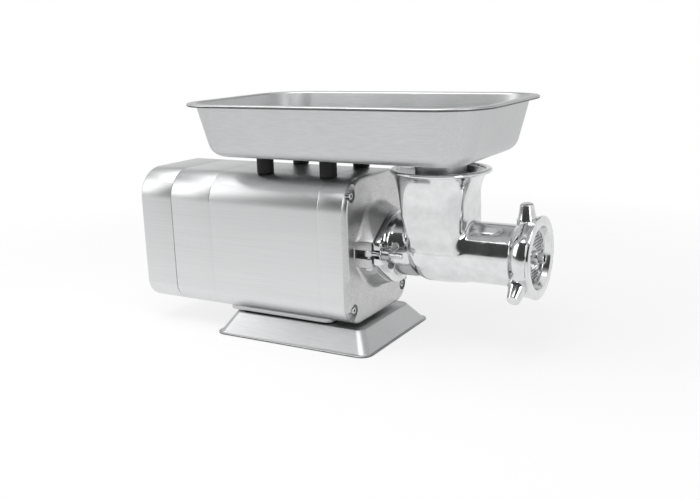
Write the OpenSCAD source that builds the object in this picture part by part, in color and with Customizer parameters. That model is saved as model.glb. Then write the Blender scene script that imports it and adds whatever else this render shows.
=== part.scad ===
// Electric meat grinder: a boxed motor and gearbox on a pressed base, a screw
// head held by two swing bolts, and a lift-off feed tray. Millimetres.
// +X points along the screw towards the hole plate, +Z is up, and the origin
// is the middle of the overall box at table level.

/* [Housing] */
// Depth of the drive housing behind the front plate face
housing_l = 330.8; // [326:0.1:340]
// Width of the drive housing
housing_w = 159; // [156:0.5:166]
// Underside of the drive housing above the table
housing_z = 31.4; // [31.4:0.1:34]
// Height of the drive housing
housing_h = 183.8; // [182:0.1:186]
// Radius of the two long top corners
top_corner_r = 40; // [34:1:44]
// Radius of the two long bottom corners
bottom_corner_r = 32; // [28:1:36]
// Thickness of the folded sheet
sheet_t = 1.2; // [1:0.1:1.6]
// Depth of the rear cover
rear_cover_l = 55.3; // [50:0.1:58]
// Distance of the two welded seams behind the front plate face
seams = [42.8, 209.8];

/* [Front plate] */
// Thickness of the cast front plate
plate_t = 8; // [7:0.5:10]
// Half height of the boss at its root
boss_root_r = 57; // [56:0.5:58]
// Half height of the boss at its face
boss_face_r = 47; // [46:0.5:48]
// Height of the boss in front of the plate
boss_l = 23.5; // [23:0.5:24]

/* [Base] */
// Distance of the base's rear rim behind the front plate face
base_back = 206; // [203:0.1:209]
// Reach of the base's front rim in front of the front plate face
base_front = 30; // [27:0.1:33]
// Width of the base over its rim
base_w = 184; // [181:0.1:187]
// Height of the base's top
base_h = 26.7; // [26.7:0.1:26.7]

/* [Head] */
// Height of the screw axis
axis_z = 126; // [124:0.1:128]
// Outer radius of the barrel
barrel_r = 37.45; // [37:0.05:38]
// Bore radius of the barrel
bore_r = 32.5; // [32:0.1:33]
// Distance of the throat's centre from the front plate face
throat_x = 88.2; // [87:0.1:89]
// Height of the throat's rim
throat_z = 226.8; // [225:0.1:228]
// Outer radius of the throat's rim
throat_r = 62.5; // [61:0.1:64]

/* [Ring nut and hole plate] */
// Outer diameter of the ring nut
ring_d = 100; // [98:0.5:102]
// Front face of the ring nut
ring_front = 215.8; // [215:0.1:217]
// Diameter of the hole plate
hole_plate_d = 70; // [69.5:0.1:70]
// Diameter of the mincing holes
hole_d = 3; // [2:0.1:3.4]
// Spacing of the mincing holes
hole_pitch = 4.4; // [4.2:0.1:6]

/* [Tray] */
// Length of the tray over its rim
tray_l = 414.2; // [400:0.1:420]
// Width of the tray over its rim
tray_w = 260; // [250:0.5:266]
// Height of the tray's rim
tray_z = 309; // [305:0.5:312]
// Underside of the tray
tray_floor_z = 241.5; // [241.5:0.1:242]
// Distance of the tray's rear rim behind the front plate face
tray_back = 228.2; // [220:0.1:232]

/* [Gears] */
// Gear module
gear_m = 1.5;
// Teeth of the motor pinion and of the gear it drives
first_pair = [15, 45];
// Teeth of the countershaft pinion and of the output gear
second_pair = [17, 43];

/* [Hidden] */
$fn = 96;
hull_fn = 32;

// The screw stub is the foremost point and the rear cover the rearmost one.
stub_front = 220;
plate_x = (housing_l - stub_front) / 2;
housing_top = housing_z + housing_h;
fit_gap = 0.05;
part_gap = 0.3;
cut = 1;

// Corner screws of the front plate, in its corner pockets
corner_screw_y = 67;
corner_screw_z = [52, 197];
corner_pocket_r = 10;

// Tray feet
foot_x = [-142, -46.3];
foot_y = 42.7;
foot_r = 11;

// Base bolts
bolt_x = [-160, -60];
bolt_y = 40;
bolt_r = 3;
pan_t = 1.5;
bottom_plate_z = 28;
saddle_h = 6;

// Gear train: the countershaft lies under the screw axis
counter_drop = (first_pair[0] + first_pair[1]) * gear_m / 2;
counter_z = axis_z - counter_drop;
first_x = -71;
first_w = 12;
second_x = -36;
second_w = 14;
gearbox_back = -84;
gearbox_wall = 8;
gearbox_r = 52;
counter_r = 41;
spindle_r = 15;
bearing_r = 26;
counter_shaft_r = 7;
counter_bearing_r = 13;
motor_shaft_r = 7;
motor_bearing_r = 16;

// Motor
motor_r = 62;
motor_front = gearbox_back;
shell_front = -97;
shell_back = -215;
motor_back = -228;
core_r = 58;
core_x = [-192, -132];
rotor_r = 30;
air_gap = 0.6;

// Swing bolts, pivoting about upright pins in the boss ears
pivot_x = 18;
pivot_y = 58.5;
pin_r = 2.8;
ear_z = [-18.2, 13.6];
ear_gap = [-7, 4.2];
ear_front = 23.7;
ear_outer = 64;
pin_head_h = 3.6;
lug_back = 24.6;
lug_front = 36;
lug_outer = 62.5;
slot_h = 11.2;
slot_end = pivot_y - 7;
lug_h = 27;
swing_r = 3.9;
swing_end = 63;
washer_x = lug_front + 0.1;
washer_t = 1.5;
nut_x = washer_x + washer_t + 0.1;
hub_l = 10;
wing_r = 17.2;
wing_tilt = 29;

// Head
flange_x = [24, 32];
head_back = boss_l + 0.5;
spigot_r = 38;
spigot_l = 7;
neck_r = 38.5;
column_r = 41;
barrel_end = 203;
seat_r = hole_plate_d / 2 + fit_gap;
seat_back = 188;
thread_r = 38.3;
thread_back = 188.5;
duct_x = [40, 130];
duct_half_y = column_r - 0.4;
duct_r = 12;
duct_top = 197;
wall_t = 4.5;

// Screw and what it turns
auger_back = 36.5;
auger_front = 186;
auger_r = 31.7;
auger_core_r = 14;
auger_pitch = 42;
tang_w = 15.4;
knife_x = [190, 197.6];
knife_square = 15;
stub_r = 8.4;
stub_bore_r = 4.8;
stub_bore_l = 11;
plate_back = 198;
plate_front = 206;

// Ring nut
ring_r = ring_d / 2;
ring_back = 187.6;
ring_rear_r = 41;
mouth_r = 37.9;
lip_r = 33.4;
lip_t = 2.3;
lug_angles = [98, 218, 338];
lug_x = 200;

// Controls and mains inlet, on the +Y side
side_y = housing_w / 2;
control_x = -118;
control_z = 150;
start_x = control_x + 20;
stop_x = control_x - 20;
reset_x = -12;
reset_z = 55;
inlet_x = -303;
inlet_z = 84;

// Tray section, from its wall slope and floor fillet
rim_w = 13;
tray_rim_r = 64;
tray_t = 1.2;
wall_slope = 14;
floor_fillet = 20;
spout_r = 31.5;
spout_bottom = 205;

// ---------------------------------------------------------------- helpers

// Places children in the frame whose x = 0 is the front plate face.
module at_plate() { translate([plate_x, 0, 0]) children(); }

// The same, with z = 0 on the screw axis.
module on_axis() { translate([plate_x, 0, axis_z]) children(); }

// Extrudes a (y, z) outline along +X from x0.
module along_x(x0, length) {
    translate([x0, 0, 0]) rotate([90, 0, 90]) linear_extrude(length) children();
}

// A round bar along +X.
module bar(x0, x1, r) {
    translate([x0, 0, 0]) rotate([0, 90, 0]) cylinder(h = x1 - x0, r = r);
}

// A round tube along +X.
module tube(x0, x1, outer, inner) {
    difference() {
        bar(x0, x1, outer);
        bar(x0 - cut, x1 + cut, inner);
    }
}

// A body turned about the X axis from [x, r] points.
module turned(profile) {
    rotate([0, 90, 0]) rotate_extrude() polygon([for (p = profile) [p[1], p[0]]]);
}

// A flat rectangle with round corners, between x0 and x1.
module rounded_rect(x0, x1, half_y, r) {
    translate([x0 + r, -half_y]) square([x1 - x0 - 2 * r, 2 * half_y]);
    translate([x0, r - half_y]) square([x1 - x0, 2 * (half_y - r)]);
    for (x = [x0 + r, x1 - r], y = [r - half_y, half_y - r])
        translate([x, y]) circle(r);
}

// The housing's (y, z) outline, moved inwards by inset.
module housing_outline(inset = 0) {
    half = housing_w / 2 - inset;
    low = housing_z + inset;
    high = housing_top - inset;
    rb = bottom_corner_r - inset;
    rt = top_corner_r - inset;
    translate([-half, low + rb]) square([2 * half, high - low - rb - rt]);
    translate([rb - half, low]) square([2 * (half - rb), rb + cut]);
    translate([rt - half, high - rt - cut]) square([2 * (half - rt), rt + cut]);
    for (side = [-1, 1]) {
        translate([side * (half - rb), low + rb]) circle(rb);
        translate([side * (half - rt), high - rt]) circle(rt);
    }
}

// A closed band of the housing's section.
module housing_band(x0, x1, inset, thickness) {
    difference() {
        along_x(x0, x1 - x0) housing_outline(inset);
        along_x(x0 - cut, x1 - x0 + 2 * cut) housing_outline(inset + thickness);
    }
}

// A round bead that follows a rounded rectangle, centred on its outline.
module bead(x0, x1, half_y, r, bead_r) {
    for (side = [-1, 1]) {
        translate([x0 + r, side * half_y, 0]) rotate([0, 90, 0])
            cylinder(h = x1 - x0 - 2 * r, r = bead_r);
        translate([side > 0 ? x1 : x0, r - half_y, 0]) rotate([-90, 0, 0])
            cylinder(h = 2 * (half_y - r), r = bead_r);
    }
    for (i = [0:3]) {
        x = i == 0 || i == 3 ? x1 - r : x0 + r;
        y = i < 2 ? half_y - r : r - half_y;
        translate([x, y, 0]) rotate(90 * i) rotate_extrude(angle = 90)
            translate([r, 0]) circle(bead_r);
    }
}

// The four corner discs of a rounded rectangle, as a station for a hull.
module station(z, x0, x1, half_y, r) {
    for (x = [x0 + r, x1 - r], y = [r - half_y, half_y - r])
        translate([x, y, z]) cylinder(h = 0.01, r = r, $fn = hull_fn);
}

// Involute angle, in degrees, at radius r on base circle rb.
function involute(rb, r) =
    let (t = sqrt(max(0, pow(r / rb, 2) - 1))) t * 180 / PI - atan(t);

// A spur gear outline with one tooth centred on the first axis.
module gear_outline(teeth, backlash = 0.12) {
    pitch_r = teeth * gear_m / 2;
    base_r = pitch_r * cos(20);
    root_r = pitch_r - 1.25 * gear_m;
    tip_r = pitch_r + 0.95 * gear_m;
    half = 90 / teeth - backlash / pitch_r * 90 / PI + involute(base_r, pitch_r);
    start_r = max(base_r, root_r);
    radii = [for (i = [0:3]) start_r + (tip_r - start_r) * i / 3];
    polygon([for (k = [0:teeth - 1], side = [-1, 1], i = [0:4])
        let (rising = side < 0,
             j = rising ? i - 1 : 3 - i,
             r = j < 0 ? root_r : radii[j],
             a = 360 * k / teeth + side * (half - involute(base_r, max(r, base_r))))
        [r * cos(a), r * sin(a)]]);
}

// A hexagon bar along +X, by its width over flats.
module hex_bar(x0, x1, flats) {
    translate([x0, 0, 0]) rotate([0, 90, 0]) cylinder(h = x1 - x0, d = flats / cos(30), $fn = 6);
}

// -------------------------------------------------------------------- base

base_rim_r = 16;
base_bead_r = 1.2;
base_foot = 4;

// Stations of the pressed base, moved inwards by t.
module base_solid(t) {
    hull() {
        station(-0.02 * t, -base_back + base_foot + t, base_front - base_foot - t,
            base_w / 2 - base_foot - t, base_rim_r - base_foot);
        station(base_h - 0.01 - t, -base_back + 22 + t, base_front - 20 - t,
            base_w / 2 - 25.4 - t, base_rim_r);
    }
}

module base_pan() color("silver") at_plate() {
    difference() {
        union() {
            base_solid(0);
            linear_extrude(pan_t) rounded_rect(-base_back + base_bead_r, base_front - base_bead_r,
                base_w / 2 - base_bead_r, base_rim_r - base_bead_r);
        }
        base_solid(pan_t);
        for (x = bolt_x, y = [-bolt_y, bolt_y])
            translate([x, y, base_h - 5]) cylinder(h = 10, r = bolt_r + 0.2);
    }
    translate([0, 0, base_bead_r])
        bead(-base_back + base_bead_r, base_front - base_bead_r, base_w / 2 - base_bead_r,
            base_rim_r - base_bead_r, base_bead_r);
}

module bolt_holes(z, h) {
    for (x = bolt_x, y = [-bolt_y, bolt_y])
        translate([x, y, z]) cylinder(h = h, r = bolt_r + 0.2);
}

module base_gasket() color("black") at_plate() difference() {
    translate([0, 0, base_h]) linear_extrude(bottom_plate_z - base_h)
        rounded_rect(-181, -38, 65, 12);
    bolt_holes(base_h - cut, 5);
}

// A saddle that the housing's flat underside and the start of its corners lie in.
module bottom_plate() color("silver") at_plate() difference() {
    translate([0, 0, bottom_plate_z]) linear_extrude(saddle_h) rounded_rect(-201, -38, 67, 12);
    along_x(-210, 180) housing_outline();
    bolt_holes(bottom_plate_z - cut, 6);
}

module base_bolts() color("gray") at_plate()
    for (x = bolt_x, y = [-bolt_y, bolt_y]) translate([x, y, 0]) {
        translate([0, 0, base_h - pan_t - 4]) cylinder(h = 4, d = 10 / cos(30), $fn = 6);
        translate([0, 0, base_h - pan_t - 1]) cylinder(h = 15, r = bolt_r);
    }

module base_nuts() color("gray") at_plate()
    for (x = bolt_x, y = [-bolt_y, bolt_y])
        translate([x, y, housing_z + sheet_t]) difference() {
            cylinder(h = 5, d = 10 / cos(30), $fn = 6);
            translate([0, 0, -cut]) cylinder(h = 7, r = bolt_r + fit_gap);
        }

// ----------------------------------------------------------------- housing

seam_w = 0.8;
seam_depth = 0.3;

module casing_wrap() color("gainsboro") at_plate() difference() {
    housing_band(rear_cover_l - housing_l, -plate_t, 0, sheet_t);
    for (x = seams)
        housing_band(-x - seam_w / 2, -x + seam_w / 2, -cut, cut + seam_depth);
    bolt_holes(housing_z - cut, sheet_t + 2 * cut);
    for (x = foot_x, y = [-foot_y, foot_y])
        translate([x, y, housing_top - 3]) cylinder(h = 5, r = 2.7);
    for (x = [start_x, stop_x])
        translate([x, side_y - 3, control_z]) rotate([-90, 0, 0]) cylinder(h = 5, r = 11.3);
    reset_bore();
}

// The hole for the reset button's barrel, through the side near the front plate.
module reset_bore() {
    translate([reset_x, side_y - 9, reset_z]) rotate([-90, 0, 0]) cylinder(h = 12, r = 6.3);
}

vent_rows = 7;
vent_pitch = 11;
vent_l = 44;
vent_h = 4.5;

// One louvre slot through the rear cover's back.
module vent() {
    rotate([90, 0, 90]) linear_extrude(8) {
        square([vent_l - vent_h, vent_h], center = true);
        for (side = [-1, 1]) translate([side * (vent_l - vent_h) / 2, 0]) circle(d = vent_h);
    }
}

module rear_cover() color("gainsboro") at_plate() difference() {
    union() {
        housing_band(-housing_l, rear_cover_l - housing_l - 0.3, 0, sheet_t);
        along_x(-housing_l, 2) housing_outline(0.01);
        housing_band(rear_cover_l - housing_l - 6, rear_cover_l - housing_l + 8, sheet_t, sheet_t);
    }
    for (row = [0:vent_rows - 1], side = [-1, 1])
        translate([-housing_l - 3, side * 28, axis_z + (row - 3) * vent_pitch]) vent();
    for (y = [-post_y, post_y], z = post_z)
        translate([-housing_l - 3, y, z]) rotate([0, 90, 0]) cylinder(h = 8, r = 2.7);
    translate([inlet_x, side_y - 5, inlet_z]) cube([34, 12, 26], center = true);
}

post_y = 42;
post_z = [70, 182];

module rear_cover_posts() color("gray") at_plate()
    for (y = [-post_y, post_y], z = post_z) translate([0, y, z]) difference() {
        bar(-housing_l + 2, motor_back, 4);
        bar(-housing_l + cut, -housing_l + 16, 2.5);
    }

module rear_cover_screws() color("silver") at_plate()
    for (y = [-post_y, post_y], z = post_z) translate([0, y, z]) {
        bar(-housing_l + 0.3, -housing_l + 14, 2.45);
        difference() {
            bar(-housing_l + 0.3, -housing_l + 2, 2.6);
            hex_bar(-housing_l, -housing_l + 1.6, 3);
        }
    }

// Places children at the four corner screws of the front plate.
module at_corner_screws() {
    for (side = [-1, 1], z = corner_screw_z) translate([0, side * corner_screw_y, z]) children();
}

// A round drawn out sideways to both swing bolts, from x0 to x1: the section of the
// boss and of the head's flange. Each of mid, side and spot is a [rear, front] pair.
module drawn_round(x0, x1, mid, side, spot) hull() {
    for (end = [[x0, 0], [x1 - 0.01, 1]]) translate([0, 0, -oval_drop]) {
        bar(end[0], end[0] + 0.01, mid[end[1]], $fn = hull_fn);
        for (hand = [-1, 1]) translate([0, hand * spot[end[1]], 0])
            bar(end[0], end[0] + 0.01, side[end[1]], $fn = hull_fn);
    }
}

// The boss is a mid circle and two side circles: at the plate, at its face, and round the head's flange.
oval_drop = 2;
oval_root_y = 34;
oval_root_r = 40;
oval_side_y = 50;
oval_side_r = 14;
flange_side_y = 46.7;
// The ears start here, inside the boss.
ear_inner = 40;
pin_pocket_z = -34;

// The space between the two ears of one swing bolt, and the pocket for its pin's head.
module ear_spaces() {
    translate([1, ear_inner + 1, ear_gap[0]]) cube([30, 30, ear_gap[1] - ear_gap[0]]);
    translate([4, 47, pin_pocket_z]) cube([30, 30, ear_z[0] - pin_pocket_z]);
    translate([pivot_x, pivot_y, pin_pocket_z]) cylinder(h = ear_z[1] - 1 - pin_pocket_z, r = pin_r + fit_gap);
}

module front_plate() color("lightgray") at_plate() difference() {
    union() {
        along_x(-plate_t, plate_t) housing_outline();
        housing_band(-plate_t - 10, -plate_t, sheet_t, 2);
        translate([0, 0, axis_z]) {
            drawn_round(-1, boss_l, [boss_root_r, boss_face_r], [oval_root_r, oval_side_r],
                [oval_root_y, oval_side_y]);
            for (side = [0, 1]) mirror([0, side, 0]) translate([-1, ear_inner, ear_z[0]])
                cube([ear_front + 1, ear_outer - ear_inner, ear_z[1] - ear_z[0]]);
        }
    }
    translate([0, 0, axis_z]) {
        bar(boss_l - spigot_l, boss_l + cut, spigot_r + fit_gap);
        bar(-plate_t - cut, 9, bearing_r);
        bar(8, boss_l, spindle_r + 5);
        for (side = [0, 1]) mirror([0, side, 0]) ear_spaces();
    }
    translate([0, 0, counter_z]) bar(-plate_t - cut, -2, counter_bearing_r);
    reset_bore();
    at_corner_screws() {
        bar(-5, cut, corner_pocket_r - 4.5);
        bar(-plate_t - 12, 0, 2.7);
    }
    for (side = [-1, 1], z = corner_screw_z) {
        up = z > axis_z ? 1 : -1;
        translate([-5, side * corner_screw_y, z]) along_x(0, 8) {
            circle(corner_pocket_r - 2);
            translate([0, -8]) square([16, 16]);
            rotate(up * 90) translate([0, -8]) square([20, 16]);
            mirror([1, 0]) translate([0, -8]) square(side > 0 ? [0.1, 16] : [16, 16]);
        }
    }
}

module front_plate_screws() color("gray") at_plate() at_corner_screws() {
    difference() {
        bar(-5, 0, 4.2);
        hex_bar(-3, cut, 4);
    }
    bar(-plate_t - 10, -5, 2.6);
}

// --------------------------------------------------------------- tray feet

foot_sink = 3;
foot_screw_sink = 0.9;

module tray_feet() color("black") at_plate() difference() {
    for (x = foot_x, y = [-foot_y, foot_y]) translate([x, y, housing_top]) difference() {
        translate([0, 0, -foot_sink]) cylinder(h = tray_floor_z - housing_top + foot_sink, r = foot_r);
        translate([0, 0, -foot_sink - cut]) cylinder(h = foot_sink + 13, r = 2.55);
    }
    along_x(foot_x[0] - 2 * foot_r, foot_x[1] - foot_x[0] + 4 * foot_r) housing_outline();
}

module tray_foot_screws() color("gray") at_plate()
    for (x = foot_x, y = [-foot_y, foot_y]) translate([x, y, housing_top]) {
        translate([0, 0, -sheet_t - 2]) cylinder(h = 14, r = 2.5);
        translate([0, 0, -sheet_t - foot_screw_sink - 4]) cylinder(h = 4, r = 5);
    }

// ----------------------------------------------------------------- gearbox

// The gearbox's (y, z) outline about the screw axis, grown by t.
module gearbox_outline(t = 0) {
    circle(gearbox_r - 8 + t);
    translate([0, -counter_drop]) circle(counter_r + t);
    translate([-counter_r - t, -counter_drop]) square([2 * (counter_r + t), counter_drop]);
}

gearbox_bolt_spots = [[-55, 0], [55, 0], [-51, -61], [51, -61], [-37, 44], [37, 44]];

module gearbox_housing() color("darkgray") on_axis() difference() {
    union() {
        along_x(gearbox_back, -plate_t - gearbox_back) gearbox_outline(5);
        for (p = gearbox_bolt_spots) translate([0, p[0], p[1]]) bar(-22, -plate_t, 7);
    }
    along_x(gearbox_back + gearbox_wall, 100) gearbox_outline();
    bar(gearbox_back - cut, gearbox_back + gearbox_wall + cut, 14);
    translate([0, 0, -counter_drop]) bar(gearbox_back + 2, -60, counter_bearing_r);
    for (p = gearbox_bolt_spots) translate([0, p[0], p[1]]) bar(-30, 0, 2.6);
    for (a = [45:90:315]) rotate([a, 0, 0]) translate([0, 41, 0])
        bar(gearbox_back - cut, gearbox_back + gearbox_wall + cut, 2.6);
}

module gearbox_web() color("gray") on_axis() difference() {
    along_x(-53, 6) gearbox_outline(-part_gap);
    bar(-60, -40, motor_bearing_r);
    translate([0, 0, -counter_drop]) bar(-60, -40, counter_bearing_r);
}

module gearbox_bolts() color("dimgray") on_axis()
    for (p = gearbox_bolt_spots) translate([0, p[0], p[1]]) {
        bar(-22, -plate_t, 2.5);
        hex_bar(-26, -22, 8);
    }

module spindle_bearings() color("silver") on_axis() {
    tube(-plate_t, 9, bearing_r, spindle_r + fit_gap);
    tube(-53, -47, motor_bearing_r, 10 + fit_gap);
}

module spindle_seal() color("black") on_axis() tube(9, boss_l - spigot_l, spindle_r + 5, spindle_r + fit_gap);

module output_spindle() color("silver") on_axis() difference() {
    union() {
        bar(-54, -36, 10);
        bar(-36, 21.5, spindle_r);
    }
    along_x(4, 20) square(tang_w + 0.4, center = true);
}

module output_gear() color("goldenrod") on_axis() difference() {
    rotate([-90, 0, 0]) along_x(second_x, second_w) gear_outline(second_pair[1]);
    bar(second_x - cut, second_x + second_w + cut, spindle_r);
}

module countershaft() color("silver") on_axis() translate([0, 0, -counter_drop]) {
    bar(gearbox_back + 2.5, -3, counter_shaft_r);
    rotate([90 + 180 / second_pair[0], 0, 0])
        along_x(second_x - 2, second_w + 4) gear_outline(second_pair[0]);
}

module countershaft_gear() color("goldenrod") on_axis() translate([0, 0, -counter_drop]) difference() {
    rotate([90 + 180 / first_pair[1], 0, 0]) along_x(first_x, first_w) gear_outline(first_pair[1]);
    bar(first_x - cut, first_x + first_w + cut, counter_shaft_r);
}

module countershaft_bearings() color("silver") on_axis() translate([0, 0, -counter_drop]) {
    tube(-plate_t, -2, counter_bearing_r, counter_shaft_r + fit_gap);
    tube(gearbox_back + 2, gearbox_back + gearbox_wall, counter_bearing_r, counter_shaft_r + fit_gap);
    tube(-53, -47, counter_bearing_r, counter_shaft_r + fit_gap);
}

// ------------------------------------------------------------------- motor

// Holes at the four long motor bolts.
module motor_bolt_holes(x0, x1) {
    for (a = [45:90:315]) rotate([a, 0, 0]) translate([0, 53, 0]) bar(x0, x1, 2.6);
}

module motor_front_bell() color("lightgray") on_axis() difference() {
    turned([[motor_front, 0], [motor_front, 50], [shell_front + 6, motor_r], [shell_front, motor_r], [shell_front, 0]]);
    bar(shell_front - cut, shell_front + 7, 50);
    bar(shell_front - cut, motor_front - 2, motor_bearing_r);
    bar(shell_front, motor_front + cut, motor_shaft_r + 3);
    for (a = [45:90:315]) rotate([a, 0, 0]) translate([0, 41, 0]) bar(shell_front, motor_front + cut, 2.6);
    motor_bolt_holes(shell_front - cut, motor_front + cut);
}

module motor_rear_bell() color("lightgray") on_axis() difference() {
    turned([[motor_back, 0], [motor_back, 52], [shell_back - 6, motor_r], [shell_back, motor_r], [shell_back, 0]]);
    bar(shell_back - 7, shell_back + cut, 50);
    bar(motor_back + 2, shell_back + cut, motor_bearing_r);
    bar(motor_back - cut, shell_back, motor_shaft_r + 3);
    motor_bolt_holes(motor_back - cut, shell_back + cut);
}

module motor_shell() color("slategray") on_axis() tube(shell_back, shell_front, motor_r, core_r);

slot_count = 24;

module stator_core() color("dimgray") on_axis() difference() {
    bar(core_x[0], core_x[1], core_r);
    bar(core_x[0] - cut, core_x[1] + cut, rotor_r + air_gap);
    for (i = [0:slot_count - 1]) rotate([360 * i / slot_count, 0, 0])
        translate([(core_x[0] + core_x[1]) / 2, rotor_r + 8, 0]) cube([62, 12, 3.6], center = true);
    motor_bolt_holes(core_x[0] - cut, core_x[1] + cut);
}

module stator_windings() color("peru") on_axis()
    for (x = [[core_x[0] - 16, core_x[0]], [core_x[1], core_x[1] + 16]])
        tube(x[0], x[1], 48, rotor_r + 3);

module motor_bolts() color("gray") on_axis()
    for (a = [45:90:315]) rotate([a, 0, 0]) translate([0, 53, 0]) {
        bar(motor_back, motor_front - 8, 2.5);
        hex_bar(motor_back - 4, motor_back, 8);
    }

module motor_bearings() color("silver") on_axis() {
    tube(shell_front + 3, motor_front - 2, motor_bearing_r, motor_shaft_r + fit_gap);
    tube(motor_back + 2, shell_back - 3, motor_bearing_r, motor_shaft_r + fit_gap);
}

module rotor_core() color("darkgray") on_axis() {
    tube(core_x[0], core_x[1], rotor_r, motor_shaft_r);
    for (x = [[core_x[0] - 8, core_x[0]], [core_x[1], core_x[1] + 8]]) tube(x[0], x[1], rotor_r - 1, 18);
}

module motor_shaft() color("silver") on_axis() {
    bar(-262, -72, motor_shaft_r);
    rotate([-90, 0, 0]) along_x(first_x - 1, first_w + 1) gear_outline(first_pair[0]);
}

fan_r = 50;
fan_blades = 9;

module cooling_fan() color("dimgray") on_axis() {
    difference() {
        union() {
            bar(-258, -242, 13);
            bar(-245, -243, fan_r);
        }
        bar(-263, -230, motor_shaft_r);
    }
    for (i = [0:fan_blades - 1]) rotate([360 * i / fan_blades, 0, 0])
        translate([-258, 12.5, -1]) cube([13, fan_r - 12.5, 2]);
}

module run_capacitor() color("whitesmoke") at_plate() {
    translate([-262, 10, 49.5]) rotate([0, -90, 0]) cylinder(h = 58, r = 15);
    for (y = [6, 14]) translate([-325, y - 1, 47.5]) cube([6, 2, 4]);
}

// ---------------------------------------------------------------- controls

control_l = 84;
control_h = 44;
control_t = 2;

module control_plate() color("dimgray") at_plate() difference() {
    translate([control_x, side_y, control_z]) rotate([-90, 0, 0]) linear_extrude(control_t)
        rounded_rect(-control_l / 2, control_l / 2, control_h / 2, 6);
    for (x = [start_x, stop_x])
        translate([x, side_y - cut, control_z]) rotate([-90, 0, 0]) cylinder(h = 5, r = 11.3);
}

// A round push button on the +Y side that stands out by height.
module push_button(x, z, r, height) {
    translate([x, side_y - 6, z]) rotate([-90, 0, 0]) cylinder(h = 6 + control_t + height - 1.5, r = r);
    translate([x, side_y + control_t + height - 1.5, z]) rotate([-90, 0, 0])
        cylinder(h = 1.5, r1 = r, r2 = r - 1.5);
}

module start_button() color("green") at_plate() push_button(start_x, control_z, 11, 5);

module stop_button() color("red") at_plate() {
    push_button(stop_x, control_z, 11, 6);
}

module switch_block() color("black") at_plate()
    translate([control_x, side_y - 13.3, control_z]) cube([70, 7.4, 32], center = true);

// The collar's flange follows the housing's bottom corner behind it.
module reset_collar() color("black") at_plate() {
    difference() {
        translate([reset_x, side_y - 6, reset_z]) rotate([-90, 0, 0]) cylinder(h = 11, r = 9);
        along_x(reset_x - 10, 20) housing_outline();
        translate([reset_x, side_y - 8, reset_z]) rotate([-90, 0, 0]) cylinder(h = 20, r = 4.3);
    }
    translate([reset_x, side_y - 8, reset_z]) rotate([-90, 0, 0]) difference() {
        cylinder(h = 9, r = 6);
        translate([0, 0, -cut]) cylinder(h = 20, r = 4.3);
    }
}

module reset_button() color("white") at_plate() translate([reset_x, side_y, reset_z]) rotate([-90, 0, 0]) {
    translate([0, 0, -1]) cylinder(h = 12, r = 4);
    translate([0, 0, 8]) cylinder(h = 4.5, r = 7);
    translate([0, 0, 12.5]) cylinder(h = 1.5, r1 = 7, r2 = 5.5);
}

module mains_inlet() color("black") at_plate() translate([inlet_x, side_y, inlet_z]) rotate([-90, 0, 0])
    difference() {
        union() {
            linear_extrude(3) rounded_rect(-25, 25, 14.5, 4);
            translate([-15.5, -11.5, -22]) cube([31, 23, 23]);
        }
        translate([-12.5, -8.5, -17]) cube([25, 17, 30]);
        for (x = [-20, 20]) translate([x, 0, -cut]) cylinder(h = 8, r = 1.9);
        for (p = pin_spots) translate([p[0] - 1, -p[1] - 2, -26]) cube([2, 4, 20]);
    }

pin_spots = [[-7, -2], [0, 2], [7, -2]];

module inlet_pins() color("gold") at_plate() translate([inlet_x, side_y, inlet_z])
    for (p = pin_spots)
        translate([p[0] - 1, -26, p[1] - 2]) cube([2, 20, 4]);

module inlet_screws() color("silver") at_plate()
    for (x = [-20, 20]) translate([inlet_x + x, side_y, inlet_z]) rotate([-90, 0, 0]) {
        translate([0, 0, 3]) cylinder(h = 1.6, r1 = 3.2, r2 = 2.4);
        cylinder(h = 3.5, r = 1.85);
    }

// ------------------------------------------------------------- swing bolts

module pivot_pins() color("silver") on_axis()
    for (side = [-1, 1]) translate([pivot_x, side * pivot_y, ear_z[0] - pin_head_h]) {
        cylinder(h = ear_z[1] - 1.5 - ear_z[0] + pin_head_h, r = pin_r);
        cylinder(h = pin_head_h, d = 8 / cos(30), $fn = 6);
    }

// An eye bolt on the -Y side, lying along +X.
module swing_bolt() translate([0, -pivot_y, 0]) difference() {
    union() {
        bar(pivot_x, swing_end, swing_r);
        translate([pivot_x, 0, -3.8]) cylinder(h = 7.6, r = 6.2);
    }
    translate([pivot_x, 0, -5]) cylinder(h = 10, r = pin_r + fit_gap);
}

module swing_washer() translate([0, -pivot_y, 0])
    tube(washer_x, washer_x + washer_t, 8, swing_r + fit_gap);

// A wing nut: a coned hub with two wings that lean forward.
module wing_nut() translate([0, -pivot_y, 0]) difference() {
    union() {
        turned([[nut_x, 0], [nut_x, 7.2], [nut_x + 3, 7.2], [nut_x + hub_l, 5.6], [nut_x + hub_l, 0]]);
        for (side = [0, 180]) rotate([90 - wing_tilt + side, 0, 0]) hull() {
            translate([nut_x + 5, 5, 0]) cube([7, 1, 3.6], center = true);
            translate([nut_x + 13, wing_r - 5, -1.4]) cylinder(h = 2.8, r = 5, $fn = hull_fn);
        }
    }
    bar(nut_x - cut, nut_x + hub_l + cut + 20, swing_r + fit_gap);
}

module swing_bolt_left() color("silver") on_axis() swing_bolt();

module swing_bolt_right() color("silver") on_axis() mirror([0, 1, 0]) swing_bolt();

module washer_left() color("silver") on_axis() swing_washer();

module washer_right() color("silver") on_axis() mirror([0, 1, 0]) swing_washer();

module wing_nut_left() color("silver") on_axis() wing_nut();

module wing_nut_right() color("silver") on_axis() mirror([0, 1, 0]) wing_nut();

// -------------------------------------------------------------------- head

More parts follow.
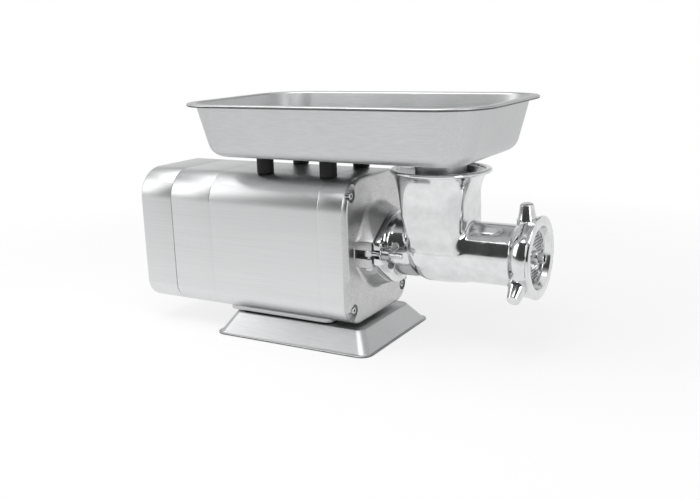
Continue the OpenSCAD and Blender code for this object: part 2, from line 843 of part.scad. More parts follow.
// The throat's flare between its rectangular duct and its round rim.
module throat_flare(t) {
    flare_mid_z = duct_top + 15;
    hull() {
        station(duct_top - 3, duct_x[0] + t - 1.5, duct_x[1] - t + 1.5, duct_half_y + 0.8 - t, duct_r - t / 2);
        station(flare_mid_z, throat_x - 53.5 + t, throat_x + 50.5 - t, 45 - t, 36 - t);
    }
    hull() {
        station(flare_mid_z, throat_x - 53.5 + t, throat_x + 50.5 - t, 45 - t, 36 - t);
        translate([throat_x, 0, throat_z - 3.4]) cylinder(h = 0.01, r = throat_r - 3.2 - t, $fn = 64);
    }
}

// The drawn-out flange with a forked lug for each swing bolt.
module slotted_flange() difference() {
    union() {
        translate([0, 0, -oval_drop]) along_x(flange_x[0], flange_x[1] - flange_x[0]) hull() {
            circle(boss_face_r);
            for (hand = [-1, 1]) translate([hand * flange_side_y, 0]) circle(oval_side_r);
        }
        for (side = [0, 1]) mirror([0, side, 0]) head_lug();
    }
    for (side = [0, 1]) mirror([0, side, 0]) {
        translate([flange_x[0] - cut, -lug_outer - 4, -slot_h / 2]) cube([20, lug_outer + 4 - slot_end, slot_h]);
        translate([0, -slot_end, 0]) bar(flange_x[0] - cut, lug_front + cut, slot_h / 2);
    }
}

// A lug for a swing bolt, on the -Y side of the head flange.
module head_lug() translate([0, 0, -lug_h / 2]) linear_extrude(lug_h)
    polygon([[lug_back, -40], [lug_back, -lug_outer + 2], [lug_back + 2, -lug_outer],
        [lug_front - 1.5, -lug_outer], [lug_front, -lug_outer + 4.5], [lug_front, -44], [lug_front - 4, -40]]);

module head_casting() color("silver") difference() {
    union() {
        on_axis() {
            turned([[head_back - spigot_l, 0], [head_back - spigot_l, spigot_r], [head_back + 1, spigot_r],
                [flange_x[1] + 1, neck_r + 1.5], [flange_x[1] + 4, neck_r], [48, neck_r], [60, column_r],
                [94, column_r], [108, barrel_r], [thread_back - 5, barrel_r], [thread_back, thread_r],
                [barrel_end - 1, thread_r], [barrel_end, thread_r - 1], [barrel_end, 0]]);
            slotted_flange();
        }
        at_plate() {
            translate([0, 0, axis_z]) linear_extrude(duct_top - axis_z)
                rounded_rect(duct_x[0], duct_x[1], duct_half_y, duct_r);
            throat_flare(0);
            translate([throat_x, 0, throat_z - 5]) rotate_extrude() {
                translate([throat_r - 8, 1]) square([5.5, 4]);
                translate([throat_r - 2.6, 2.4]) circle(2.6);
            }
        }
    }
    on_axis() {
        bar(flange_x[1] + 2, seat_back + cut, bore_r);
        bar(seat_back, barrel_end + cut, seat_r);
        bar(head_back - spigot_l - cut, flange_x[1] + 3, bush_r);
        bar(head_back - spigot_l - cut, head_back, 30);
    }
    at_plate() {
        translate([0, 0, axis_z]) linear_extrude(duct_top - axis_z + cut)
            rounded_rect(duct_x[0] + wall_t, duct_x[1] - wall_t, duct_half_y - wall_t, duct_r - wall_t);
        throat_flare(wall_t);
        translate([throat_x, 0, throat_z - 5]) cylinder(h = 10, r = throat_r - 7);
    }
    on_axis() translate([0, 0, -seat_r - 0.2]) bar(plate_back - 4, barrel_end + cut, key_r);
}

bush_r = 18;
key_r = 1.9;

module auger_bush() color("darkgoldenrod") on_axis()
    tube(head_back + 0.2, flange_x[1] + 2, bush_r, auger_core_r + fit_gap);

// The screw flight's section: a sector on the core.
module flight_section() {
    half_angle = 26;
    polygon(concat([[0, 0]], [for (a = [-half_angle:half_angle / 4:half_angle])
        [auger_r * cos(a), auger_r * sin(a)]]));
}

module auger() color("silver") on_axis() {
    turns = (auger_front - auger_back) / auger_pitch;
    along_x(5, 18) square(tang_w, center = true);
    bar(22, auger_front, auger_core_r);
    translate([auger_back, 0, 0]) rotate([0, 90, 0])
        linear_extrude(auger_front - auger_back, twist = -360 * turns, slices = 72, segments = 20)
            flight_section();
    along_x(auger_front - cut, plate_back - 0.2 - auger_front + cut) square(knife_square, center = true);
    difference() {
        union() {
            bar(plate_back - part_gap, stub_front - 6, stub_r);
            turned([[stub_front - 7, 0], [stub_front - 7, stub_r], [stub_front - 5, stub_r - 1.8],
                [stub_front, stub_r - 1.8], [stub_front, 0]]);
        }
        bar(stub_front - stub_bore_l, stub_front + cut, stub_bore_r);
    }
}

module knife() color("lightgray") on_axis() difference() {
    union() {
        bar(knife_x[0], knife_x[1], 15);
        for (a = [45:90:315]) rotate([a, 0, 0])
            along_x(knife_x[0], knife_x[1] - knife_x[0])
                polygon([[0, -5], [32.2, -3.5], [32.7, 0], [32.2, 3.5], [0, 8]]);
    }
    along_x(knife_x[0] - cut, 20) square(knife_square + 0.1, center = true);
}

// ---------------------------------------------------------- plate and ring

hub_clear_r = 12.5;
hole_field_r = 31.4;
hole_rows = 8;

module hole_plate() color("gainsboro") on_axis() difference() {
    bar(plate_back, plate_front, hole_plate_d / 2);
    bar(plate_back - cut, plate_front + cut, stub_r + fit_gap);
    for (row = [-hole_rows:hole_rows], col = [-hole_rows:hole_rows]) {
        y = (col + row / 2) * hole_pitch;
        z = row * hole_pitch * sin(60);
        if (norm([y, z]) > hub_clear_r && norm([y, z]) < hole_field_r)
            translate([0, y, z]) bar(plate_back - cut, plate_front + cut, hole_d / 2);
    }
    translate([0, 0, -seat_r - 0.2]) bar(plate_back - cut, plate_front + cut, key_r + 0.3);
}

module plate_key() color("gray") on_axis() translate([0, 0, -seat_r - 0.2])
    bar(plate_back - 4, barrel_end - 0.5, key_r);

module ring_nut() color("silver") on_axis() difference() {
    union() {
        turned([[ring_back, 0], [ring_back, ring_rear_r - 0.6], [ring_back + 0.6, ring_rear_r],
            [ring_back + 2.5, ring_rear_r + 1.2], [ring_back + 5.5, ring_rear_r + 3.6],
            [ring_back + 8.5, ring_r - 3], [ring_back + 12, ring_r - 2],
            [ring_front - 4.5, ring_r - 1.6], [ring_front - 3.5, ring_r],
            [ring_front - 1, ring_r], [ring_front, ring_r - 1], [ring_front, 0]]);
        for (a = lug_angles) rotate([a, 0, 0]) translate([lug_x, 42, 0]) rotate([-90, 0, 0]) {
            cylinder(h = 23, r1 = 10.3, r2 = 7.9);
            translate([0, 0, 23]) cylinder(h = 1.2, r1 = 7.9, r2 = 6.7);
        }
    }
    bar(ring_back - cut, plate_front + 0.1, thread_r + 0.08);
    turned([[plate_front, 0], [plate_front, lip_r], [plate_front + lip_t, lip_r],
        [plate_front + lip_t, mouth_r - 0.7], [ring_front - 0.6, mouth_r], [ring_front + cut, mouth_r + 1.2],
        [ring_front + cut, 0]]);
}

// -------------------------------------------------------------------- tray

// Stations of the tray's bowl, moved inwards by t, from rim to floor.
module bowl(t) {
    depth = tray_z - tray_floor_z;
    wall_in = depth * tan(wall_slope);
    fillet_in = wall_in + floor_fillet * tan(45 - wall_slope / 2);
    top_r = tray_rim_r - rim_w;
    hull() {
        bowl_station(tray_z - 0.02 + (t > 0 ? cut : 0), -(t > 0 ? cut * tan(wall_slope) : 0) + t, top_r - t);
        for (a = [wall_slope:(90 - wall_slope) / 4:90]) {
            inset = fillet_in - (floor_fillet - t) * cos(a);
            bowl_station(tray_floor_z + floor_fillet - (floor_fillet - t) * sin(a), inset, top_r - inset);
        }
    }
}

module bowl_station(z, inset, r) {
    station(z, -tray_back + rim_w + inset, tray_l - tray_back - rim_w - inset,
        tray_w / 2 - rim_w - inset, r);
}

module tray() color("silver") at_plate() {
    bead_r = 1.9;
    difference() {
        union() {
            bowl(0);
            translate([0, 0, tray_z - tray_t]) linear_extrude(tray_t)
                rounded_rect(-tray_back + bead_r, tray_l - tray_back - bead_r,
                    tray_w / 2 - bead_r, tray_rim_r - bead_r);
        }
        bowl(tray_t);
        translate([throat_x, 0, tray_floor_z - 5]) cylinder(h = 20, r = spout_r);
    }
    translate([0, 0, tray_z - bead_r])
        bead(-tray_back + bead_r, tray_l - tray_back - bead_r, tray_w / 2 - bead_r,
            tray_rim_r - bead_r, bead_r);
}

module tray_spout() color("silver") at_plate() translate([throat_x, 0, spout_bottom])
    difference() {
        cylinder(h = tray_floor_z + tray_t - spout_bottom, r = spout_r);
        translate([0, 0, -cut]) cylinder(h = 60, r = spout_r - 1.5);
    }

// ------------------------------------------------------------------- nodes

base_pan();
base_gasket();
base_bolts();
base_nuts();
bottom_plate();
casing_wrap();
rear_cover();
rear_cover_posts();
rear_cover_screws();
front_plate();
front_plate_screws();
tray_feet();
tray_foot_screws();
gearbox_housing();
gearbox_web();
gearbox_bolts();
countershaft_bearings();
spindle_bearings();
spindle_seal();
output_spindle();
output_gear();
countershaft();
countershaft_gear();
motor_front_bell();
motor_rear_bell();
motor_shell();
stator_core();
stator_windings();
motor_bolts();
motor_bearings();
rotor_core();
motor_shaft();
cooling_fan();
run_capacitor();
control_plate();
start_button();
stop_button();
switch_block();
reset_collar();
reset_button();
mains_inlet();
inlet_pins();
inlet_screws();
pivot_pins();
swing_bolt_left();
swing_bolt_right();
washer_left();
washer_right();
wing_nut_left();
wing_nut_right();
head_casting();
auger_bush();
auger();
knife();
hole_plate();
plate_key();
ring_nut();
tray();
tray_spout();
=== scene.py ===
"""Electric meat grinder: the visible pieces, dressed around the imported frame.

Each class is one sub-assembly. Its sizes are dataclass fields in millimetres, in the maker's frame: x = 0 at the
front plate's face and +x towards the hole plate, y = 0 on the screw axis, z = 0 on the table. `Sketch.mesh`
turns a finished bmesh into the frame's metres.
"""
import logging
import math
from dataclasses import dataclass
from enum import Enum
from typing import Iterable, Sequence

import bmesh
import bpy
import numpy as np
from mathutils import Matrix, Vector


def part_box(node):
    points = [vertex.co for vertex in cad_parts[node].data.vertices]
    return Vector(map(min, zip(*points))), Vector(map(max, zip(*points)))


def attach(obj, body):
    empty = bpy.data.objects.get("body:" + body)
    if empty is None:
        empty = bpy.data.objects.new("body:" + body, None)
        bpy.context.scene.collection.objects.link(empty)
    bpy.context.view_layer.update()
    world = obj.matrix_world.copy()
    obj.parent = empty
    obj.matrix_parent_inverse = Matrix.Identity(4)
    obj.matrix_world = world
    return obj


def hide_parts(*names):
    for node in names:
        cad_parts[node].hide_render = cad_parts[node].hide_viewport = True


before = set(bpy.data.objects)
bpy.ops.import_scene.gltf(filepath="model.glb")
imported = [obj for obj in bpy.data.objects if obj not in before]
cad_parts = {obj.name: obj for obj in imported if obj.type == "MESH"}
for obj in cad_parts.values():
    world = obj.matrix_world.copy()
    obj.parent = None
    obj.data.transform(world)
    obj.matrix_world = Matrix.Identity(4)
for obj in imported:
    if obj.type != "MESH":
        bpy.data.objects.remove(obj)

log = logging.getLogger("grinder")

MM = 0.001
FRONT_PLATE_T = 8.0
PLATE_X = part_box("casing_wrap")[1][0] + FRONT_PLATE_T * MM
AXIS_Z = (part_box("hole_plate")[0][2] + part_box("hole_plate")[1][2]) / 2 / MM
ON_AXIS = (0.0, 0.0, AXIS_Z)
PIVOT_X = 18.0
PIVOT_Y = 58.5
BOSS_DROP = 2.0
WHITE = (1.0, 1.0, 1.0, 1.0)

Point = tuple[float, float, float]
Flat = tuple[float, float]
Loop = list[Point]
Socket = bpy.types.NodeSocket
Inputs = dict[str | int, object]


class Axis(Enum):
    """The direction a turned piece is turned about, and the direction its radius is first drawn in."""

    X = (Vector((1, 0, 0)), Vector((0, 0, 1)))
    Y = (Vector((0, 1, 0)), Vector((1, 0, 0)))
    Z = (Vector((0, 0, 1)), Vector((1, 0, 0)))


class Hand(Enum):
    """The two sides of the screw head, as the sign of y."""

    LEFT = -1
    RIGHT = 1

    @property
    def tag(self) -> str:
        """The side as the names of nodes and bodies have it."""
        return self.name.lower()


# ------------------------------------------------------------------ finishes


class Nodes:
    """A node tree, with a short call for making and joining its nodes."""

    def __init__(self, tree: bpy.types.NodeTree) -> None:
        """Wraps a tree."""
        self.tree = tree

    def link(self, source: Socket, target: Socket) -> None:
        """Joins two sockets."""
        self.tree.links.new(source, target)

    def node(self, kind: str, inputs: Inputs | None = None, **settings: object) -> bpy.types.Node:
        """Adds a node.

        Args:
            kind: the node's type.
            inputs: for each input, its value or the socket that it is joined to.
            settings: the node's own properties.

        Returns:
            The node.
        """
        made = self.tree.nodes.new(kind)
        for key, value in settings.items():
            setattr(made, key, value)
        for key, value in (inputs or {}).items():
            if isinstance(value, Socket):
                self.link(value, made.inputs[key])
            else:
                made.inputs[key].default_value = value
        return made

    def mixed(self, share: Socket, first: Socket, second: Socket) -> Socket:
        """A mix of two shaders by the second one's share."""
        return self.node("ShaderNodeMixShader", {0: share, 1: first, 2: second}).outputs[0]

    def ramp(self, value: Socket, stops: Sequence[Flat]) -> Socket:
        """A grey that follows a value along (place, grey) stops."""
        made = self.node("ShaderNodeValToRGB", {"Fac": value})
        elements = made.color_ramp.elements
        while len(elements) < len(stops):
            elements.new(0.5)
        for element, (place_at, grey) in zip(elements, stops):
            element.position = place_at
            element.color = (grey, grey, grey, 1.0)
        return made.outputs["Color"]


class Graph(Nodes):
    """A material's node tree around one Principled shader, with short calls for its patterns."""

    def __init__(self, name: str) -> None:
        """Makes the material and its shader."""
        self.material = bpy.data.materials.new(name)
        self.material.use_nodes = True
        super().__init__(self.material.node_tree)
        self.shader = self.tree.nodes["Principled BSDF"]
        self.coords = self.node("ShaderNodeTexCoord").outputs["Object"]

    def stretched(self, scale: Point, turn: Point = (0.0, 0.0, 0.0)) -> Socket:
        """Object coordinates scaled per axis, so that a noise drawn on them becomes a grain."""
        mapping = self.node("ShaderNodeMapping", {"Scale": scale, "Rotation": turn, "Vector": self.coords})
        return mapping.outputs["Vector"]

    def noise(self, vector: Socket, scale: float, detail: float = 3.0, distortion: float = 0.0) -> Socket:
        """A noise value between 0 and 1 on the given coordinates."""
        inputs = {"Vector": vector, "Scale": scale, "Detail": detail, "Distortion": distortion}
        return self.node("ShaderNodeTexNoise", inputs).outputs["Fac"]

    def span(self, value: Socket, low: float, high: float, edge: float = 0.3) -> Socket:
        """Maps the middle of a noise's values to the span from low to high."""
        inputs = {"Value": value, "From Min": edge, "From Max": 1.0 - edge, "To Min": low, "To Max": high}
        return self.node("ShaderNodeMapRange", inputs).outputs["Result"]

    def blend(self, value: Socket, low: Point, high: Point) -> Socket:
        """A colour between two colours, by a value from 0 to 1."""
        inputs = {0: value, 6: (*low, 1.0), 7: (*high, 1.0)}
        return self.node("ShaderNodeMix", inputs, data_type="RGBA").outputs[2]

    def bump(self, *layers: tuple[Socket, float, float]) -> None:
        """Stacks bump layers on the shader.

        Args:
            layers: for each layer, its height value, its strength and its depth in millimetres.
        """
        below: Inputs = {}
        for height, strength, depth in layers:
            inputs = {"Height": height, "Strength": strength, "Distance": depth * MM, **below}
            below = {"Normal": self.node("ShaderNodeBump", inputs).outputs["Normal"]}
        self.link(below["Normal"], self.shader.inputs["Normal"])


@dataclass(frozen=True)
class Finish:
    """What all finishes share: a name, two close tones, a roughness span and whether it is bare metal."""

    name: str
    slot: str
    dark: Point
    light: Point
    smoothest: float
    roughest: float
    metallic: float = 1.0

    def material(self) -> bpy.types.Material:
        """The finish's material, made the first time it is asked for."""
        found = bpy.data.materials.get(self.name)
        if found is not None:
            return found
        graph = Graph(self.name)
        graph.shader.inputs["Metallic"].default_value = self.metallic
        tone, polish = self.draw(graph)
        colour = graph.blend(graph.span(tone, 0.0, 1.0), self.dark, self.light)
        graph.link(colour, graph.shader.inputs["Base Color"])
        graph.link(graph.span(polish, self.smoothest, self.roughest), graph.shader.inputs["Roughness"])
        return graph.material

    def draw(self, graph: Graph) -> tuple[Socket, Socket]:
        """Draws the finish's own pattern.

        Returns:
            The value that moves the colour between the two tones, and the one that moves the roughness.
        """
        raise NotImplementedError


@dataclass(frozen=True)
class BrushedSheet(Finish):
    """Stainless sheet with a fine straight grain along x."""

    grain: float = 0.2

    def draw(self, graph: Graph) -> tuple[Socket, Socket]:
        """Fine lines along x, with slightly duller and brighter bands between them."""
        lines = graph.noise(graph.stretched((7.0, 2400.0, 2400.0)), 1.0, 4.0)
        bands = graph.noise(graph.stretched((1.5, 90.0, 90.0)), 1.0, 2.0)
        graph.bump((lines, self.grain, 0.008))
        return lines, bands


@dataclass(frozen=True)
class SatinSheet(Finish):
    """Pressed stainless with a satin, nearly directionless surface."""

    def draw(self, graph: Graph) -> tuple[Socket, Socket]:
        """Fine speckle, short drawn marks and slight pressing waves."""
        speckle = graph.noise(graph.coords, 1800.0, 2.0)
        marks = graph.noise(graph.stretched((60.0, 700.0, 700.0)), 1.0, 3.0)
        waves = graph.noise(graph.coords, 10.0, 1.0)
        graph.bump((waves, 0.06, 0.4), (marks, 0.05, 0.008), (speckle, 0.12, 0.006))
        return marks, waves


@dataclass(frozen=True)
class GroundCasting(Finish):
    """Aluminium casting finished with a flap disc: overlapping swirls of fine scratches."""

    def draw(self, graph: Graph) -> tuple[Socket, Socket]:
        """Two sets of bent scratches over pores and soft unevenness."""
        bend = graph.noise(graph.coords, 22.0, 2.0, 1.5)
        first = graph.noise(graph.stretched((300.0, 60.0, 420.0), (0.7, 0.2, 0.0)), 1.0, 4.0, 2.6)
        second = graph.noise(graph.stretched((300.0, 420.0, 50.0), (-0.5, 0.0, 0.3)), 1.0, 4.0, 2.2)
        pores = graph.noise(graph.coords, 900.0, 2.0)
        graph.bump((bend, 0.25, 0.8), (first, 0.28, 0.06), (second, 0.22, 0.05), (pores, 0.10, 0.02))
        return first, bend


@dataclass(frozen=True)
class PolishedCasting(Finish):
    """Buffed aluminium: a near mirror with slow hand-polished waves and a few hairlines."""

    wave: float = 0.5

    def draw(self, graph: Graph) -> tuple[Socket, Socket]:
        """Slow waves, hairlines and faint haze."""
        waves = graph.noise(graph.coords, 30.0, 2.0, 0.4)
        haze = graph.noise(graph.coords, 75.0, 4.0)
        hairs = graph.noise(graph.stretched((80.0, 900.0, 300.0), (0.2, 0.4, 0.1)), 1.0, 3.0, 0.5)
        graph.bump((waves, 0.35, self.wave), (hairs, 0.08, 0.01))
        return haze, haze


@dataclass(frozen=True)
class TurnedSteel(Finish):
    """Plain machined or plated steel with tool marks."""

    def draw(self, graph: Graph) -> tuple[Socket, Socket]:
        """Fine rings of tool marks and a light stain."""
        marks = graph.noise(graph.stretched((2200.0, 30.0, 30.0)), 1.0, 2.0)
        stain = graph.noise(graph.coords, 120.0, 3.0)
        graph.bump((marks, 0.2, 0.01), (stain, 0.1, 0.03))
        return stain, stain


@dataclass(frozen=True)
class SandCast(Finish):
    """Rough casting or laminated iron."""

    def draw(self, graph: Graph) -> tuple[Socket, Socket]:
        """Coarse sand grain over uneven tone."""
        sand = graph.noise(graph.coords, 700.0, 4.0)
        clouds = graph.noise(graph.coords, 40.0, 3.0)
        graph.bump((sand, 0.5, 0.12))
        return clouds, sand


@dataclass(frozen=True)
class Moulded(Finish):
    """Moulded plastic or rubber with a fine grain."""

    metallic: float = 0.0
    grain: float = 0.2

    def draw(self, graph: Graph) -> tuple[Socket, Socket]:
        """Mould grain and faint handling marks."""
        grain = graph.noise(graph.coords, 1600.0, 2.0)
        marks = graph.noise(graph.coords, 60.0, 4.0)
        graph.bump((grain, self.grain, 0.03))
        return marks, marks


BRUSHED = BrushedSheet(
    "brushed stainless", "stainless_brushed", (0.68, 0.685, 0.69), (0.76, 0.765, 0.77), 0.34, 0.40)
SATIN = SatinSheet(
    "satin stainless", "stainless_satin", (0.54, 0.545, 0.55), (0.60, 0.605, 0.61), 0.34, 0.42)
# The rim beads' dark tones are painted shade: they stand for the dark reflection and shadow along the rolled rims,
# not the steel's own colour.
RIM_PAINTED_SHADE = SatinSheet(
    "rim painted shade", "stainless_satin", (0.10, 0.10, 0.102), (0.16, 0.16, 0.163), 0.40, 0.50)
GROUND = GroundCasting(
    "ground aluminium", "cast_aluminium", (0.50, 0.50, 0.505), (0.66, 0.66, 0.66), 0.30, 0.46)
POLISHED = PolishedCasting(
    "polished aluminium", "polished_casting", (0.68, 0.685, 0.69), (0.78, 0.785, 0.79), 0.09, 0.17)
FORGED = PolishedCasting(
    "tumbled casting", "polished_casting", (0.36, 0.36, 0.365), (0.50, 0.50, 0.505), 0.24, 0.40, wave=0.3)
BRIGHT = TurnedSteel("bright steel", "bright_steel", (0.52, 0.53, 0.54), (0.66, 0.67, 0.68), 0.16, 0.30)
HARDENED = TurnedSteel("hardened steel", "hardened_steel", (0.38, 0.39, 0.41), (0.52, 0.53, 0.55), 0.20, 0.36)
ZINC = TurnedSteel("zinc plated steel", "zinc_steel", (0.44, 0.45, 0.46), (0.58, 0.59, 0.60), 0.30, 0.48)
IRON = SandCast("grey iron", "grey_iron", (0.16, 0.165, 0.17), (0.26, 0.265, 0.27), 0.45, 0.65)
BRONZE = TurnedSteel("bearing bronze", "bronze", (0.50, 0.33, 0.15), (0.62, 0.42, 0.20), 0.25, 0.40)
COPPER = SandCast("varnished copper", "copper", (0.42, 0.16, 0.07), (0.60, 0.27, 0.13), 0.30, 0.50)
CONTACT = TurnedSteel("tinned brass", "tinned_brass", (0.55, 0.47, 0.27), (0.68, 0.60, 0.38), 0.20, 0.34)
RUBBER = Moulded("black rubber", "black_rubber", (0.003, 0.003, 0.003), (0.010, 0.010, 0.010), 0.6, 0.8)
BLACK = Moulded("black plastic", "black_plastic", (0.012, 0.012, 0.013), (0.028, 0.028, 0.03), 0.32, 0.5)
PANEL = Moulded("panel paint", "grey_panel", (0.035, 0.037, 0.04), (0.055, 0.057, 0.06), 0.3, 0.42, grain=0.3)
GREEN = Moulded("green cap", "green_plastic", (0.01, 0.22, 0.045), (0.02, 0.30, 0.07), 0.18, 0.3, grain=0.05)
RED = Moulded("red cap", "red_plastic", (0.42, 0.010, 0.008), (0.52, 0.016, 0.012), 0.18, 0.3, grain=0.05)
PALE = Moulded("pale boot", "pale_plastic", (0.50, 0.50, 0.49), (0.62, 0.62, 0.61), 0.3, 0.45)

CARRIED_OVER: dict[Finish, tuple[str, ...]] = {
    ZINC: ("base_bolts", "base_nuts", "rear_cover_posts", "tray_foot_screws", "gearbox_bolts", "motor_shell",
           "motor_bolts"),
    BRIGHT: ("hole_plate",),
    HARDENED: ("countershaft_bearings", "spindle_bearings", "output_spindle", "output_gear", "countershaft",
               "countershaft_gear", "motor_bearings", "motor_shaft", "knife", "plate_key"),
    IRON: ("gearbox_housing", "gearbox_web", "stator_core", "rotor_core"),
    GROUND: ("motor_front_bell", "motor_rear_bell"),
    COPPER: ("stator_windings",),
    BRONZE: ("auger_bush",),
    CONTACT: ("inlet_pins",),
    RUBBER: ("spindle_seal",),
    BLACK: ("cooling_fan", "switch_block"),
    PALE: ("run_capacitor",),
}


# ------------------------------------------------------------------- outlines


def arc(centre: Flat, radius: float, start: float, end: float, steps: int) -> list[Flat]:
    """Points on an arc.

    Args:
        centre: the arc's centre.
        radius: its radius.
        start: the first point's angle in degrees.
        end: the last point's angle in degrees.
        steps: how many chords the arc is cut into.

    Returns:
        steps + 1 points.
    """
    angles = [math.radians(start + (end - start) * i / steps) for i in range(steps + 1)]
    return [(centre[0] + radius * math.cos(a), centre[1] + radius * math.sin(a)) for a in angles]


def round_rect(x0: float, x1: float, half_y: float, radius: float, steps: int = 10) -> list[Flat]:
    """A rectangle with round corners, anticlockwise from the +x side."""
    corners = ((x1 - radius, radius - half_y, -90), (x1 - radius, half_y - radius, 0),
               (x0 + radius, half_y - radius, 90), (x0 + radius, radius - half_y, 180))
    return [p for cx, cy, start in corners for p in arc((cx, cy), radius, start, start + 90, steps)]


def at_height(outline: Iterable[Flat], z: float) -> Loop:
    """Places an (x, y) outline at a height."""
    return [(x, y, z) for x, y in outline]


def drawn_round(x: float, mid: float, side: float, spot: float, grow: float = 0.0, steps: int = 144) -> Loop:
    """The round that is drawn out sideways to the swing bolts: a mid circle and two side circles, wrapped.

    Args:
        x: the station along the screw axis.
        mid: the middle circle's radius.
        side: the side circles' radius.
        spot: how far the side circles sit from the middle.
        grow: how far the whole outline is moved outwards.
        steps: how many points go round.

    Returns:
        The outline, one point for each direction, lowered by the boss's drop.
    """
    loop = []
    for i in range(steps):
        angle = math.tau * (i + 0.5) / steps
        c, h = math.cos(angle), math.sin(angle)
        reach = abs(c) * spot + side
        y, r = (math.copysign(spot, c), side) if reach > mid else (0.0, mid)
        loop.append((x, y + (r + grow) * c, AXIS_Z - BOSS_DROP + (r + grow) * h))
    return loop


# --------------------------------------------------------------------- sketch


class Sketch:
    """A bmesh drawn in the maker's millimetres."""

    def __init__(self) -> None:
        """Starts an empty mesh."""
        self.bm = bmesh.new()

    def wire(
        self, points: Sequence[Point], closed: bool
    ) -> tuple[list[bmesh.types.BMVert], list[bmesh.types.BMEdge]]:
        """Draws a line through points.

        Args:
            points: where the line goes.
            closed: whether it returns to its start.

        Returns:
            The line's vertices and edges.
        """
        verts = [self.bm.verts.new(p) for p in points]
        pairs = list(zip(verts, verts[1:])) + ([(verts[-1], verts[0])] if closed else [])
        return verts, [self.bm.edges.new(pair) for pair in pairs]

    def lathe(
        self, profile: Sequence[Flat], axis: Axis = Axis.X, origin: Point = ON_AXIS, steps: int = 96
    ) -> None:
        """Turns a profile a full turn.

        Args:
            profile: (distance along the axis, radius) points.
            axis: what it turns about.
            origin: a point on the axis, where the distance is 0.
            steps: how many faces go round.
        """
        along, out = axis.value
        start = Vector(origin)
        closed = profile[0][1] > 0 and profile[-1][1] > 0
        points = [start + along * d + out * r for d, r in profile]
        verts, edges = self.wire([tuple(p) for p in points], closed)
        bmesh.ops.spin(self.bm, geom=verts + edges, cent=start, axis=along, angle=math.tau, steps=steps,
                       use_merge=True)

    def wind(self, section: Sequence[Flat], x: float, pitch: float, turns: float, steps: int) -> None:
        """Winds a closed section round the screw axis.

        Args:
            section: (distance along the axis, radius) points.
            x: where the section starts.
            pitch: how far it moves along the axis in one turn.
            turns: how many turns it makes.
            steps: how many faces each turn has.
        """
        verts, edges = self.wire([(x + along, 0.0, AXIS_Z + r) for along, r in section], True)
        face = bmesh.ops.contextual_create(self.bm, geom=edges)["faces"]
        bmesh.ops.spin(self.bm, geom=verts + edges + face, cent=(x, 0, AXIS_Z), axis=(1, 0, 0),
                       angle=math.tau * turns, dvec=(pitch / steps, 0, 0), steps=int(steps * turns),
                       use_merge=False)

    def loft(self, loops: Sequence[Loop], cap_first: bool = False, cap_last: bool = False) -> None:
        """Draws a skin through closed loops that have the same number of points.

        Args:
            loops: the loops in order.
            cap_first: whether the first loop is filled.
            cap_last: whether the last loop is filled.
        """
        verts, edges = self.wire(loops[0], True)
        if cap_first:
            bmesh.ops.contextual_create(self.bm, geom=edges)
        for loop in loops[1:]:
            made = bmesh.ops.extrude_edge_only(self.bm, edges=edges)["geom"]
            fresh = {g for g in made if isinstance(g, bmesh.types.BMVert)}
            partner = {e.other_vert(v): v for v in fresh for e in v.link_edges if e.other_vert(v) not in fresh}
            verts = [partner[v] for v in verts]
            for vert, point in zip(verts, loop):
                vert.co = point
            pairs = zip(verts, verts[1:] + verts[:1])
            edges = [self.bm.edges.get(pair) for pair in pairs]
        if cap_last:
            bmesh.ops.contextual_create(self.bm, geom=edges)

    def prism(self, outline: Loop, push: Point) -> None:
        """Fills an outline and extrudes it along push."""
        _, edges = self.wire(outline, True)
        face = bmesh.ops.contextual_create(self.bm, geom=edges)["faces"]
        made = bmesh.ops.extrude_face_region(self.bm, geom=face, use_keep_orig=True)["geom"]
        moved = [g for g in made if isinstance(g, bmesh.types.BMVert)]
        bmesh.ops.translate(self.bm, verts=moved, vec=push)

    def block(self, low: Point, high: Point) -> None:
        """Draws a plain block between two corners, to be bevelled afterwards."""
        made = bmesh.ops.create_cube(self.bm, size=1.0)["verts"]
        size = Vector(high) - Vector(low)
        bmesh.ops.scale(self.bm, verts=made, vec=size)
        bmesh.ops.translate(self.bm, verts=made, vec=(Vector(high) + Vector(low)) / 2)

    def round_bar(self, origin: Point, axis: Axis, length: float, radius: float, steps: int = 48) -> None:
        """Draws a closed cylinder that starts at origin."""
        self.lathe([(0.0, 0.0), (0.0, radius), (length, radius), (length, 0.0)], axis, origin, steps)

    def tidy(self) -> None:
        """Merges doubles and turns every face outwards."""
        bmesh.ops.remove_doubles(self.bm, verts=self.bm.verts, dist=0.002)
        bmesh.ops.dissolve_degenerate(self.bm, dist=0.0005, edges=self.bm.edges)
        bmesh.ops.recalc_face_normals(self.bm, faces=self.bm.faces)

    def soften(self, width: float, segments: int = 2, angle: float = 35.0) -> None:
        """Bevels the sharp edges.

        Args:
            width: the bevel's width.
            segments: its number of faces.
            angle: the least angle in degrees that counts as sharp.
        """
        self.tidy()
        least = math.radians(angle)
        edges = [e for e in self.bm.edges if len(e.link_faces) == 2 and e.calc_face_angle(0.0) > least]
        bmesh.ops.bevel(self.bm, geom=edges, offset=width, offset_type="OFFSET", segments=segments, profile=0.5,
                        affect="EDGES", clamp_overlap=True, material=-1)

    def mesh(self, name: str) -> bpy.types.Object:
        """Tidies the bmesh and makes it an object in the frame's metres."""
        self.tidy()
        bmesh.ops.transform(self.bm, matrix=Matrix.Translation((PLATE_X, 0, 0)) @ Matrix.Scale(MM, 4),
                            verts=self.bm.verts)
        data = bpy.data.meshes.new(name)
        self.bm.to_mesh(data)
        self.bm.free()
        return place(name, data)


def place(name: str, data: bpy.types.ID) -> bpy.types.Object:
    """Makes an object of its data and puts it in the scene."""
    made = bpy.data.objects.new(name, data)
    bpy.context.scene.collection.objects.link(made)
    return made


def apply_modifiers(piece: bpy.types.Object) -> None:
    """Makes a piece's modifiers part of its mesh."""
    result = piece.evaluated_get(bpy.context.evaluated_depsgraph_get())
    data = bpy.data.meshes.new_from_object(result)
    piece.modifiers.clear()
    piece.data = data


